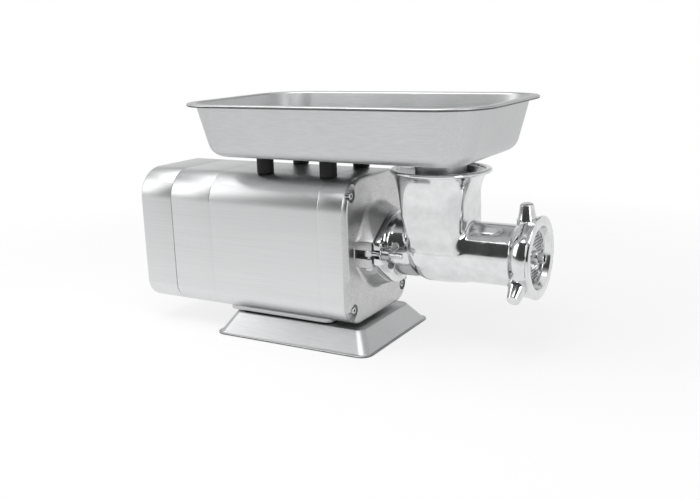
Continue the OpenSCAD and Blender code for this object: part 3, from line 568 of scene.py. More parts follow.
def carve(piece: bpy.types.Object, tools: Sequence[bpy.types.Object], how: str = "DIFFERENCE") -> None:
    """Cuts tools out of a piece, or joins them to it.

    Args:
        piece: the piece that is changed.
        tools: closed pieces, used up by the cut.
        how: DIFFERENCE or UNION.
    """
    for tool in tools:
        cut = piece.modifiers.new("cut", "BOOLEAN")
        cut.operation = how
        cut.solver = "EXACT"
        cut.use_self = False
        cut.object = tool
    apply_modifiers(piece)
    for tool in tools:
        bpy.data.objects.remove(tool)


def dress(
    piece: bpy.types.Object, finish: Finish, node: str, body: str = "machine", angle: float = 32.0
) -> None:
    """Gives a piece its finish, its shading and its place in the frame.

    Args:
        piece: the finished piece.
        finish: its finish.
        node: the node that it stands for.
        body: the body it rides on.
        angle: edges sharper than this many degrees are shaded sharp.
    """
    piece.data.materials.clear()
    piece.data.materials.append(finish.material())
    piece.data.shade_smooth()
    piece.data.set_sharp_from_angle(angle=math.radians(angle))
    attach(piece, body)
    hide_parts(node)
    log.info("%s: %d faces, %s, rides on %s", piece.name, len(piece.data.polygons), finish.name, body)


def turned(
    name: str, finish: Finish, profile: Sequence[Flat], *origins: Point, axis: Axis = Axis.X, steps: int = 96,
    node: str = "", body: str = "machine", angle: float = 32.0
) -> None:
    """Makes and dresses a piece that is one turned block, or several equal ones.

    Args:
        name: the piece's name.
        finish: its finish.
        profile: (distance along the axis, radius) points.
        origins: the blocks' starting points, or none for one block on the screw axis.
        axis: what they turn about.
        steps: how many faces go round.
        node: the node that it stands for, if not the one of its own name.
        body: the body it rides on.
        angle: edges sharper than this many degrees are shaded sharp.
    """
    sketch = Sketch()
    for origin in origins or (ON_AXIS,):
        sketch.lathe(profile, axis, origin, steps)
    dress(sketch.mesh(name), finish, node or name, body, angle)


def thicken(piece: bpy.types.Object, wall: float) -> None:
    """Gives an open skin its wall, inwards from its outer face."""
    solid = piece.modifiers.new("wall", "SOLIDIFY")
    solid.thickness = wall * MM
    solid.offset = -1.0
    solid.use_even_offset = True
    apply_modifiers(piece)


# ----------------------------------------------------------------------- base


@dataclass
class Base:
    """The pressed base, its gasket and the saddle plate above it."""

    back: float = -205.9
    front: float = 29.9
    half_w: float = 91.9
    height: float = 26.7
    bead_r: float = 1.1
    rim_r: float = 16.0
    wall: float = 1.5
    foot: float = 4.0
    top_back: float = -187.5
    top_front: float = 10.0
    top_half_w: float = 67.6
    top_r: float = 11.0
    saddle_low: float = 28.0
    saddle_h: float = 5.6
    saddle_plan: Point = (-201.0, -38.0, 63.0)
    gasket_plan: Point = (-181.0, -38.0, 65.0)
    layer_r: float = 12.0

    def build(self, shape: "HousingShape") -> None:
        """Makes the three pieces; the saddle is cut to the housing's section."""
        self.pan()
        self.gasket()
        self.saddle(shape)

    def rim(self, out: float, z: float) -> Loop:
        """The pan's outline at its rim, moved outwards, at a height."""
        return at_height(round_rect(self.back - out, self.front + out, self.half_w + out, self.rim_r + out), z)

    def pan(self) -> None:
        """The pan: a thin rolled rim, flat sloping walls, a crisp top edge and a flat top, 1.5 mm thick."""
        sketch = Sketch()
        middle, low = (-self.bead_r, self.bead_r), 2 * self.bead_r
        loops = [self.rim(out, z) for out, z in arc(middle, self.bead_r - 0.04, -120, 90, 8)]
        for x, z in ((self.foot - 1.2, low - 0.35), (self.foot - 0.4, low - 0.2), (self.foot, low + 0.4)):
            loops.append(self.rim(-x, z))
        foot = (self.back + self.foot, self.front - self.foot, self.half_w - self.foot, self.rim_r - self.foot)
        top = (self.top_back, self.top_front, self.top_half_w, self.top_r)
        for t, drop in ((0.03, 23.3), (0.945, 1.75), (0.965, 1.1), (0.995, 0.45), (1.03, 0.1), (1.07, 0.0)):
            loops.append(at_height(round_rect(*[a + (b - a) * t for a, b in zip(foot, top)]), self.height - drop))
        sketch.loft(loops, cap_last=True)
        pan = sketch.mesh("base_pan")
        thicken(pan, self.wall)
        dress(pan, SATIN, "base_pan", angle=24)
        # The rolled bead gets the dark rim finish, which is painted shade along the pan's bottom edge.
        bead = Sketch()
        bead.loft([self.rim(out, z) for out, z in arc(middle, self.bead_r, -110, 38, 8)])
        dress(bead.mesh("base_rim"), RIM_PAINTED_SHADE, "base_pan", angle=60)

    def saddle(self, shape: "HousingShape") -> None:
        """The saddle plate that the housing's underside lies in."""
        sketch = Sketch()
        outline = round_rect(*self.saddle_plan, self.layer_r)
        sketch.prism(at_height(outline, self.saddle_low), (0, 0, self.saddle_h))
        sketch.soften(0.4, 1)
        plate = sketch.mesh("saddle_plate")
        housing = Sketch()
        housing.loft([shape.loop(-225, -0.02), shape.loop(-20, -0.02)], True, True)
        carve(plate, [housing.mesh("housing_space")])
        dress(plate, SATIN, "bottom_plate")

    def gasket(self) -> None:
        """The flat gasket between the pan and the saddle."""
        sketch = Sketch()
        outline = round_rect(*self.gasket_plan, self.layer_r)
        sketch.prism(at_height(outline, self.height), (0, 0, self.saddle_low - self.height))
        sketch.soften(0.3, 1)
        dress(sketch.mesh("base_gasket"), RUBBER, "base_gasket")


# -------------------------------------------------------------------- housing


@dataclass
class HousingShape:
    """The housing's section across the screw axis, shared by its sheet, cover and front plate."""

    half_w: float = 79.5
    low: float = 31.4
    high: float = 215.2
    top_r: float = 40.0
    bottom_r: float = 28.0

    def loop(self, x: float, inset: float = 0.0, steps: int = 14) -> Loop:
        """The section at x, moved inwards by inset."""
        half = self.half_w - inset
        low, high = self.low + inset, self.high - inset
        rb, rt = self.bottom_r - inset, self.top_r - inset
        corners = ((half - rb, low + rb, rb, -90), (half - rt, high - rt, rt, 0),
                   (rt - half, high - rt, rt, 90), (rb - half, low + rb, rb, 180))
        outline = [p for cy, cz, r, start in corners for p in arc((cy, cz), r, start, start + 90, steps)]
        return [(x, y, z) for y, z in outline]


@dataclass
class Housing:
    """The folded sheet housing and its rear cover."""

    shape: HousingShape
    back: float = -330.8
    joint: float = -275.5
    joint_gap: float = 0.7
    seams: tuple[float, float] = (-42.8, -209.8)
    sheet: float = 1.2
    cover_edge_r: float = 5.0
    cover_wall: float = 1.5
    lip_wall: float = 1.1
    vent_rows: int = 7
    vent_pitch: float = 11.0
    vent_l: float = 44.0
    vent_h: float = 4.5
    vent_y: float = 28.0
    screw_y: float = 42.0
    screw_z: tuple[float, float] = (70.0, 182.0)

    def build(self) -> None:
        """Makes the sheet and the cover with its screws."""
        self.wrap()
        self.cover()
        self.cover_screws()

    def wrap(self) -> None:
        """The sheet, with a shallow dressed groove at each seam."""
        stations = [(self.joint + 0.25, 0.5), (self.joint + 0.4, 0.15), (self.joint + 0.9, 0.0)]
        for seam in sorted(self.seams):
            stations += [(seam - 1.1, 0.0), (seam - 0.45, 0.05), (seam - 0.2, 0.26), (seam + 0.2, 0.26),
                         (seam + 0.45, 0.05), (seam + 1.1, 0.0)]
        stations += [(-FRONT_PLATE_T - 0.5, 0.0), (-FRONT_PLATE_T - 0.05, 0.2)]
        sketch = Sketch()
        sketch.loft([self.shape.loop(x, inset) for x, inset in stations])
        wrap = sketch.mesh("casing_wrap")
        thicken(wrap, self.sheet)
        dress(wrap, BRUSHED, "casing_wrap", angle=40)

    def cover(self) -> None:
        """The rear cover: a rolled-round edge, a flat back and two columns of vent slots."""
        edge = self.cover_edge_r
        stations = [(self.joint - self.joint_gap + 0.2, 0.6), (self.joint - self.joint_gap, 0.15),
                    (self.joint - self.joint_gap - 0.5, 0.0)]
        stations += arc((self.back + edge, edge), edge, 270, 180, 6)
        sketch = Sketch()
        sketch.loft([self.shape.loop(x, inset) for x, inset in stations], cap_last=True)
        cover = sketch.mesh("rear_cover")
        thicken(cover, self.cover_wall)
        slots = Sketch()
        half = self.vent_l / 2 - self.vent_h / 2
        for row in range(self.vent_rows):
            for side in (-self.vent_y, self.vent_y):
                z = AXIS_Z + (row - (self.vent_rows - 1) / 2) * self.vent_pitch
                right = arc((side + half, z), self.vent_h / 2, -90, 90, 8)
                left = arc((side - half, z), self.vent_h / 2, 90, 270, 8)
                slots.prism([(self.back - 3, y, h) for y, h in right + left], (9, 0, 0))
        carve(cover, [slots.mesh("slots")])
        dress(cover, BRUSHED, "rear_cover", angle=40)
        lip = Sketch()
        lip.loft([self.shape.loop(self.joint + x, self.sheet + 0.05) for x in (-6, 8)])
        inner = lip.mesh("rear_cover_lip")
        thicken(inner, self.lip_wall)
        dress(inner, BRUSHED, "rear_cover", angle=40)

    def cover_screws(self) -> None:
        """Four pan-head screws with a round socket on the cover's back."""
        profile = [(1.6, 0.0), (1.6, 2.5), (0.5, 2.6), (0.2, 3.4), (0.05, 2.4), (0.0, 1.7), (1.2, 1.6), (1.2, 0.0)]
        places = [(self.back, y, z) for y in (-self.screw_y, self.screw_y) for z in self.screw_z]
        turned("rear_cover_screws", BRIGHT, profile, *places, steps=24)


# ---------------------------------------------------------------- front plate


@dataclass
class FrontPlate:
    """The cast front plate, its drawn-out boss, the ears of the swing bolts and the corner screws."""

    shape: HousingShape
    edge_r: float = 2.6
    root: tuple[float, float, float] = (56.0, 29.0, 34.0)
    face: tuple[float, float, float] = (47.0, 27.0, 36.6)
    length: float = 23.5
    recess_r: float = 38.05
    recess_depth: float = 7.0
    ear_low: float = -18.2
    ear_high: float = 13.6
    gap_low: float = -7.0
    gap_high: float = 4.2
    ear_x: float = 23.7
    ear_y: float = 63.9
    ear_inner: float = 40.0
    pin_bore_r: float = 2.85
    pocket_low: float = -34.0
    screw_y: float = 67.0
    screw_z: tuple[float, float] = (52.0, 197.0)
    pocket_r: float = 8.2
    pocket_reach: float = 34.0

    def build(self) -> None:
        """Makes the casting and the screws."""
        plate = self.plate()
        carve(plate, [self.boss(), *[self.ears(hand) for hand in Hand]], "UNION")
        carve(plate, [self.pockets(), self.recess(), *[space for hand in Hand for space in self.spaces(hand)]])
        dress(plate, GROUND, "front_plate", angle=28)
        self.screws()

    def plate(self) -> bpy.types.Object:
        """The plate itself, with a rounded front edge."""
        r = self.edge_r
        stations = [(-FRONT_PLATE_T, 0.15), (-FRONT_PLATE_T + 0.3, 0.0), *arc((-r, r), r, -90, 0, 6)]
        sketch = Sketch()
        sketch.loft([self.shape.loop(x, inset) for x, inset in stations], cap_first=True, cap_last=True)
        return sketch.mesh("front_plate")

    def boss(self) -> bpy.types.Object:
        """The boss: a fillet at its root, a cone drawn out to both sides and a rolled face edge."""
        end = self.length
        stations = [(-3.0, 3.4), (0.02, 3.4), (0.3, 2.3), (0.8, 1.4), (1.6, 0.7), (2.8, 0.2), (4.2, 0.0),
                    (end - 1.7, 0.0), (end - 0.9, -0.2), (end - 0.3, -0.7), (end, -1.6)]
        sketch = Sketch()
        loops = []
        for x, grow in stations:
            t = max(0.0, x) / end
            mid, side, spot = (a + (b - a) * t for a, b in zip(self.root, self.face))
            loops.append(drawn_round(x, mid, side, spot, grow))
        sketch.loft(loops, True, True)
        return sketch.mesh("boss")

    def ears(self, hand: Hand) -> bpy.types.Object:
        """The block that holds both ears of one swing bolt."""
        sides = sorted((hand.value * self.ear_inner, hand.value * self.ear_y))
        sketch = Sketch()
        sketch.block((-2.0, sides[0], AXIS_Z + self.ear_low), (self.ear_x, sides[1], AXIS_Z + self.ear_high))
        sketch.soften(1.0, 3)
        return sketch.mesh("ears")

    def spaces(self, hand: Hand) -> list[bpy.types.Object]:
        """The slot between one pair of ears, the pocket for the pin's head and the pin's blind bore."""
        spaces = []
        for x, y, low, high in ((1.0, self.ear_inner + 1.0, self.gap_low, self.gap_high),
                                (4.0, 47.0, self.pocket_low, self.ear_low + 0.15)):
            sides = sorted((hand.value * y, hand.value * 90.0))
            sketch = Sketch()
            sketch.block((x, sides[0], AXIS_Z + low), (40.0, sides[1], AXIS_Z + high))
            spaces.append(sketch.mesh("space"))
        bore = Sketch()
        bore.round_bar((PIVOT_X, hand.value * PIVOT_Y, AXIS_Z - 28.0), Axis.Z, 40.5, self.pin_bore_r, 32)
        return [*spaces, bore.mesh("pin_bore")]

    def pockets(self) -> bpy.types.Object:
        """The corner pockets: the upper two open upwards and the near lower one diagonally; the last is round."""
        sketch = Sketch()
        for side in (-1, 1):
            for z in self.screw_z:
                centre, upper = (side * self.screw_y, z), z > AXIS_Z
                if side > 0 and not upper:
                    outline = arc(centre, self.pocket_r, 0, 345, 23)
                else:
                    way = 90.0 if upper else -135.0
                    outline = arc(centre, self.pocket_r, way + 90, way + 270, 20)
                    turn, reach = math.radians(way), self.pocket_reach
                    outline += [(y + reach * math.cos(turn), h + reach * math.sin(turn))
                                for y, h in (outline[-1], outline[0])]
                sketch.prism([(-5.2, y, h) for y, h in outline], (12, 0, 0))
        return sketch.mesh("pockets")

    def recess(self) -> bpy.types.Object:
        """The register that the head's spigot sits in."""
        sketch = Sketch()
        depth = self.length - self.recess_depth
        sketch.lathe([(depth, 0.0), (depth, self.recess_r), (self.length - 0.6, self.recess_r),
                      (self.length + 0.2, self.recess_r + 0.8), (self.length + 2, self.recess_r + 0.8),
                      (self.length + 2, 0.0)])
        return sketch.mesh("recess")

    def screws(self) -> None:
        """Socket screws in the four corner pockets, with a washer face."""
        profile = [(-5.15, 0.0), (-5.15, 6.0), (-4.3, 6.0), (-4.3, 4.3), (-0.8, 4.3), (-0.4, 3.9), (-0.4, 2.2),
                   (-2.6, 2.1), (-2.6, 0.0)]
        places = [(0, side * self.screw_y, z) for side in (-1, 1) for z in self.screw_z]
        turned("front_plate_screws", BRIGHT, profile, *places, steps=36)


# ------------------------------------------------------------------ tray feet


@dataclass
class TrayFeet:
    """Four rubber feet that carry the tray."""

    places: tuple[float, float] = (-142.0, -46.3)
    half_y: float = 42.7
    radius: float = 11.0
    low: float = 215.2
    high: float = 241.5

    def build(self) -> None:
        """Makes the feet as one piece of four turned blocks."""
        height, r = self.high - self.low, self.radius
        profile = [(0, 0), (0, r - 0.5), (0.5, r), (height - 1, r), (height - 0.3, r - 0.3), (height, r - 1),
                   (height, 0)]
        places = [(x, side * self.half_y, self.low) for x in self.places for side in (-1, 1)]
        turned("tray_feet", RUBBER, profile, *places, axis=Axis.Z, steps=48)


# ----------------------------------------------------------------------- head


def soft_min(a: np.ndarray, b: np.ndarray, blend: float) -> np.ndarray:
    """The smaller of two distances, rounded off where they are within blend of each other."""
    near = np.maximum(blend - np.abs(a - b), 0.0) / blend
    return np.minimum(a, b) - near * near * blend / 4


def soft_max(a: np.ndarray, b: np.ndarray, blend: float) -> np.ndarray:
    """The larger of two distances, rounded off in the same way."""
    return -soft_min(-a, -b, blend)


@dataclass
class HeadShape:
    """The head casting's outer and inner surfaces, as distances from a point in millimetres."""

    neck_r: float = 38.5
    column_r: float = 40.5
    barrel_r: float = 37.45
    bore_r: float = 32.5
    back: float = 30.0
    front: float = 189.0
    duct_back: float = 50.0
    duct_lean: float = 0.26
    lean_z: float = 171.0
    duct_front: float = 130.0
    duct_half_y: float = 40.5
    duct_r: float = 16.0
    duct_back_r: float = 8.0
    throat_x: float = 88.2
    throat_r: float = 62.3
    throat_z: float = 226.8
    flare_z: float = 175.0
    lip: float = 2.4
    wall: float = 4.5
    fillet: float = 7.0
    neck_end: float = 60.0
    barrel_start: float = 100.0
    barrel_end: float = 183.0
    front_swell: float = 0.4
    foot_h: float = 32.0
    foot_taper: tuple[float, float] = (26.0, 2.0)
    foot_sink: float = 0.3
    top_drop: float = 2.6

    def duct(self, p: np.ndarray, inset: float) -> np.ndarray:
        """Distance to the duct's rounded rectangle, which opens into the round rim."""
        t = np.clip((p[:, 2] - self.flare_z) / (self.throat_z - self.flare_z), 0.0, 1.04)
        rim = self.throat_r - self.lip * 0.6 - inset
        lean = self.duct_lean * np.clip(self.lean_z - p[:, 2], 0.0, 60.0)
        back = self.duct_back + lean + inset + (self.throat_x - rim - self.duct_back - inset) * t**1.6
        front = self.duct_front - inset + (self.throat_x + rim - self.duct_front + inset) * t**3.0
        half_y = self.duct_half_y - inset + (rim - self.duct_half_y + inset) * t**2.8
        corner = np.where(p[:, 0] < (front + back) / 2, self.duct_back_r, self.duct_r)
        radius = corner - inset + (rim - corner + inset) * t**2.0
        half_x = (front - back) / 2
        radius = np.minimum(radius, np.minimum(half_x, half_y))
        qx = np.abs(p[:, 0] - (front + back) / 2) - half_x + radius
        qy = np.abs(p[:, 1]) - half_y + radius
        outside = np.hypot(np.maximum(qx, 0), np.maximum(qy, 0))
        return outside + np.minimum(np.maximum(qx, qy), 0) - radius

    def outer(self, p: np.ndarray) -> np.ndarray:
        """Distance to the casting's outer surface."""
        x, rise = p[:, 0], p[:, 2] - AXIS_Z
        rho = np.hypot(p[:, 1], rise)
        stations = (self.back, self.neck_end, self.barrel_start, self.barrel_end, self.front)
        radii = (self.neck_r, self.neck_r, self.barrel_r, self.barrel_r, self.barrel_r + self.front_swell)
        radius = np.interp(x, stations, radii)
        barrel = soft_max(rho - radius, np.maximum(self.back - x, x - self.front), 1.0)
        foot_back = self.duct_back + self.duct_lean * (self.lean_z - p[:, 2])
        foot_r = np.interp(x, [self.duct_front - before for before in self.foot_taper],
                           (self.column_r, self.barrel_r - self.foot_sink))
        qx = np.maximum(foot_back - x, x - self.duct_front) + self.duct_back_r
        qr = rho - foot_r + self.duct_back_r
        foot = np.hypot(np.maximum(qx, 0), np.maximum(qr, 0)) + np.minimum(np.maximum(qx, qr), 0)
        foot -= self.duct_back_r
        below = np.maximum(foot, rise - 0.5)
        top = np.maximum(p[:, 2] - self.throat_z + self.top_drop, -rise)
        half = self.duct_half_y - (self.column_r - foot_r) * np.clip(1 - rise / self.foot_h, 0, 1)
        duct = np.maximum(self.duct(p, 0.0), np.where(rise < self.foot_h, np.abs(p[:, 1]) - half, -60.0))
        column = soft_min(soft_max(duct, top, 1.0), below, 0.6)
        return soft_min(barrel, column, self.fillet)

    def inner(self, p: np.ndarray) -> np.ndarray:
        """Distance to the casting's inner surface."""
        rho = np.hypot(p[:, 1], p[:, 2] - AXIS_Z)
        bore = np.maximum(rho - self.bore_r, self.back + 4 - p[:, 0])
        duct = np.maximum(self.duct(p, self.wall), AXIS_Z - p[:, 2])
        return soft_min(bore, duct, 4.0)

    def distance(self, p: np.ndarray) -> np.ndarray:
        """Distance to the finished wall."""
        return soft_max(self.outer(p), -self.inner(p), 0.8)


@dataclass
class Head:
    """The screw head's casting: barrel, throat, flange with lugs, and the threaded end."""

    shape: HeadShape
    voxel: float = 1.5
    foot_blank: Point = (64.0, 116.0, 129.0)
    flange_round: tuple[float, float, float] = (47.0, 27.0, 34.4)
    flange_back: float = 25.1
    flange_front: float = 32.0
    lug_back: float = 24.6
    lug_front: float = 36.0
    lug_outer: float = 62.5
    lug_h: float = 27.0
    slot_h: float = 11.2
    slot_end: float = 51.5
    thread_r: float = 38.25
    thread_pitch: float = 3.0
    end: float = 203.0
    seat_r: float = 35.05
    spindle_bore_r: float = 18.05

    def build(self) -> None:
        """Makes the casting's pieces."""
        self.casting()
        self.lip()
        self.flange()
        self.threaded_end()

    def blank(self, grow: float) -> list[bpy.types.Object]:
        """The barrel and the throat as plain solids, grown by a distance, to be joined and shaped."""
        s = self.shape
        neck, tube = s.neck_r + grow, s.barrel_r + grow
        barrel = Sketch()
        barrel.lathe([(s.back, 0), (s.back, neck), (s.neck_end + 2, neck), (s.barrel_start, tube), (s.front, tube),
                      (s.front, 0)], steps=64)
        duct = Sketch()
        loops = []
        for z in (AXIS_Z, 150, 175, 190, 202, 212, 220, s.throat_z):
            t = max(0.0, (z - s.flare_z) / (s.throat_z - s.flare_z))
            rim = s.throat_r + grow
            lean = s.duct_lean * max(0.0, s.lean_z - z)
            back = s.duct_back + lean - grow + (s.throat_x - rim - s.duct_back + grow) * t**1.6
            front = s.duct_front + grow + (s.throat_x + rim - s.duct_front - grow) * t**3
            half_y = s.duct_half_y + grow + (rim - s.duct_half_y - grow) * t**2.8
            corner = s.duct_back_r + 2.0
            radius = min(corner + grow + (rim - corner - grow) * t**2, half_y - 0.01, (front - back) / 2 - 0.01)
            loops.append(at_height(round_rect(back, front, half_y, radius, 8), z))
        duct.loft(loops, True, True)
        foot = Sketch()
        high, low = s.column_r - 0.3 + grow, s.barrel_r + 0.2 + grow
        start, bend, end = self.foot_blank
        foot.lathe([(start, 0), (start, high), (bend, high), (end, low), (end, 0)], steps=64)
        return [barrel.mesh("barrel"), duct.mesh("duct"), foot.mesh("foot")]

    def casting(self) -> None:
        """The barrel and throat, remeshed evenly and drawn onto the exact blended surface."""
        barrel, duct, foot = self.blank(0.0)
        carve(barrel, [duct, foot], "UNION")
        bore, well, spare = self.blank(-self.shape.wall)
        bpy.data.objects.remove(spare)
        for vert in well.data.vertices:
            if vert.co.z > (self.shape.throat_z - 1) * MM:
                vert.co.z += 4 * MM
        for vert in bore.data.vertices:
            vert.co.x += (3.0 if vert.co.x < PLATE_X + 0.05 else 4.0) * MM
        carve(barrel, [bore, well])
        remesh = barrel.modifiers.new("grid", "REMESH")
        remesh.mode = "VOXEL"
        remesh.voxel_size = self.voxel * MM
        apply_modifiers(barrel)
        self.settle(barrel)
        barrel.name = "head_casting"
        dress(barrel, POLISHED, "head_casting", angle=60)

    def lip(self) -> None:
        """The throat's rolled lip, turned over the casting's top edge."""
        s = self.shape
        outer = arc((s.throat_r - s.lip, s.throat_z - s.lip), s.lip, -150, 90, 16)
        inner = arc((s.throat_r - s.lip - 3.6, s.throat_z - 1.6), 1.6, 90, 180, 6)
        profile = [(z, r) for r, z in outer + inner]
        profile += [(s.throat_z - 5.5, s.throat_r - s.lip - 6.0), (s.throat_z - 6.5, s.throat_r - s.lip - 4.6)]
        turned("head_lip", POLISHED, profile, (s.throat_x, 0, 0), axis=Axis.Z, steps=160, node="head_casting",
               angle=40)

    def settle(self, piece: bpy.types.Object) -> None:
        """Moves each vertex along the surface's gradient until it lies on the surface."""
        count = len(piece.data.vertices)
        points = np.empty(count * 3)
        piece.data.vertices.foreach_get("co", points)
        p = points.reshape(count, 3)
        p[:, 0] -= PLATE_X
        p /= MM
        step = 0.02
        for _ in range(6):
            here = self.shape.distance(p)
            ahead, behind = ([self.shape.distance(p + offset * axis) for axis in np.eye(3)]
                             for offset in (step, -step))
            slope = (np.stack(ahead, 1) - np.stack(behind, 1)) / (2 * step)
            size = np.maximum((slope**2).sum(1), 0.25)
            move = (here / size)[:, None] * slope
            length = np.linalg.norm(move, axis=1, keepdims=True)
            p -= move * np.minimum(1.0, 0.8 / np.maximum(length, 1e-9))
        p *= MM
        p[:, 0] += PLATE_X
        piece.data.vertices.foreach_set("co", p.reshape(-1))
        piece.data.update()

    def flange(self) -> None:
        """The flange, its two slotted lugs and the collar that runs into the neck."""
        back, front = self.flange_back, self.flange_front
        stations = [(24.0, -4.5), (back - 0.2, -4.5), (back, -0.9), (back + 0.5, -0.2), (back + 1.2, 0.0),
                    (front - 1.3, 0.0), (front - 0.5, -0.25), (front, -1.0)]
        sketch = Sketch()
        sketch.loft([drawn_round(x, *self.flange_round, grow) for x, grow in stations], True, True)
        flange = sketch.mesh("head_flange")
        bore = Sketch()
        bore.round_bar((20, 0, AXIS_Z), Axis.X, 20, self.spindle_bore_r)
        carve(flange, [self.lug(hand) for hand in Hand], "UNION")
        carve(flange, [bore.mesh("bore"), *[self.slot(hand) for hand in Hand]])
        dress(flange, POLISHED, "head_casting", angle=30)
        neck, hole = self.shape.neck_r, self.spindle_bore_r
        collar = [(front - 0.5, hole), (front - 0.5, neck + 4.2), (front + 0.25, neck + 3.2),
                  (front + 0.9, neck + 2.2), (front + 2.0, neck + 1.2), (front + 3.6, neck + 0.45),
                  (front + 5.5, neck + 0.05), (front + 6.5, neck - 0.3), (front + 6.5, 34.0), (front + 2.0, 33.0),
                  (front + 2.0, hole)]
        turned("head_collar", POLISHED, collar, steps=128, node="head_casting", angle=40)
        spigot = [(17, 30), (17, 37.4), (17.6, 38), (24.2, 38), (24.2, 30)]
        turned("head_spigot", BRIGHT, spigot, node="head_casting")

    def lug(self, hand: Hand) -> bpy.types.Object:
        """One lug, a block on the flange whose outer corner is cut back for the swing bolt's nut."""
        side = hand.value
        back, front, outer = self.lug_back, self.lug_front, self.lug_outer
        outline = [(back, 40), (back, outer - 2), (back + 2, outer), (front - 1.5, outer), (front, outer - 4.5),
                   (front, 44), (front - 4, 40)]
        sketch = Sketch()
        sketch.prism([(x, side * y, AXIS_Z - self.lug_h / 2) for x, y in outline], (0, 0, self.lug_h))
        sketch.soften(0.9, 2)
        return sketch.mesh("lug")

    def slot(self, hand: Hand) -> bpy.types.Object:
        """The slot that takes the swing bolt."""
        half = self.slot_h / 2
        end = arc((self.slot_end + half, AXIS_Z), half, 270, 90, 12)
        outline = [(70, AXIS_Z - half), *end, (70, AXIS_Z + half)]
        sketch = Sketch()
        sketch.prism([(20.0, hand.value * y, z) for y, z in outline], (20, 0, 0))
        return sketch.mesh("slot")

    def threaded_end(self) -> None:
        """The threaded end: a sleeve with the plate's seat inside, and the thread wound round it."""
        sketch = Sketch()
        root = self.thread_r - 1.1
        sketch.lathe([(188.8, 32.6), (188.8, root), (self.end - 0.6, root), (self.end, root - 0.6),
                      (self.end, self.seat_r), (190.5, self.seat_r), (190.5, 32.6)])
        section = [(-0.75, root - 0.2), (-0.2, self.thread_r), (0.2, self.thread_r), (0.75, root - 0.2)]
        sketch.wind(section, 189.3, self.thread_pitch, 4.2, 72)
        dress(sketch.mesh("head_thread"), BRIGHT, "head_casting", angle=25)


# ---------------------------------------------------------------- swing bolts


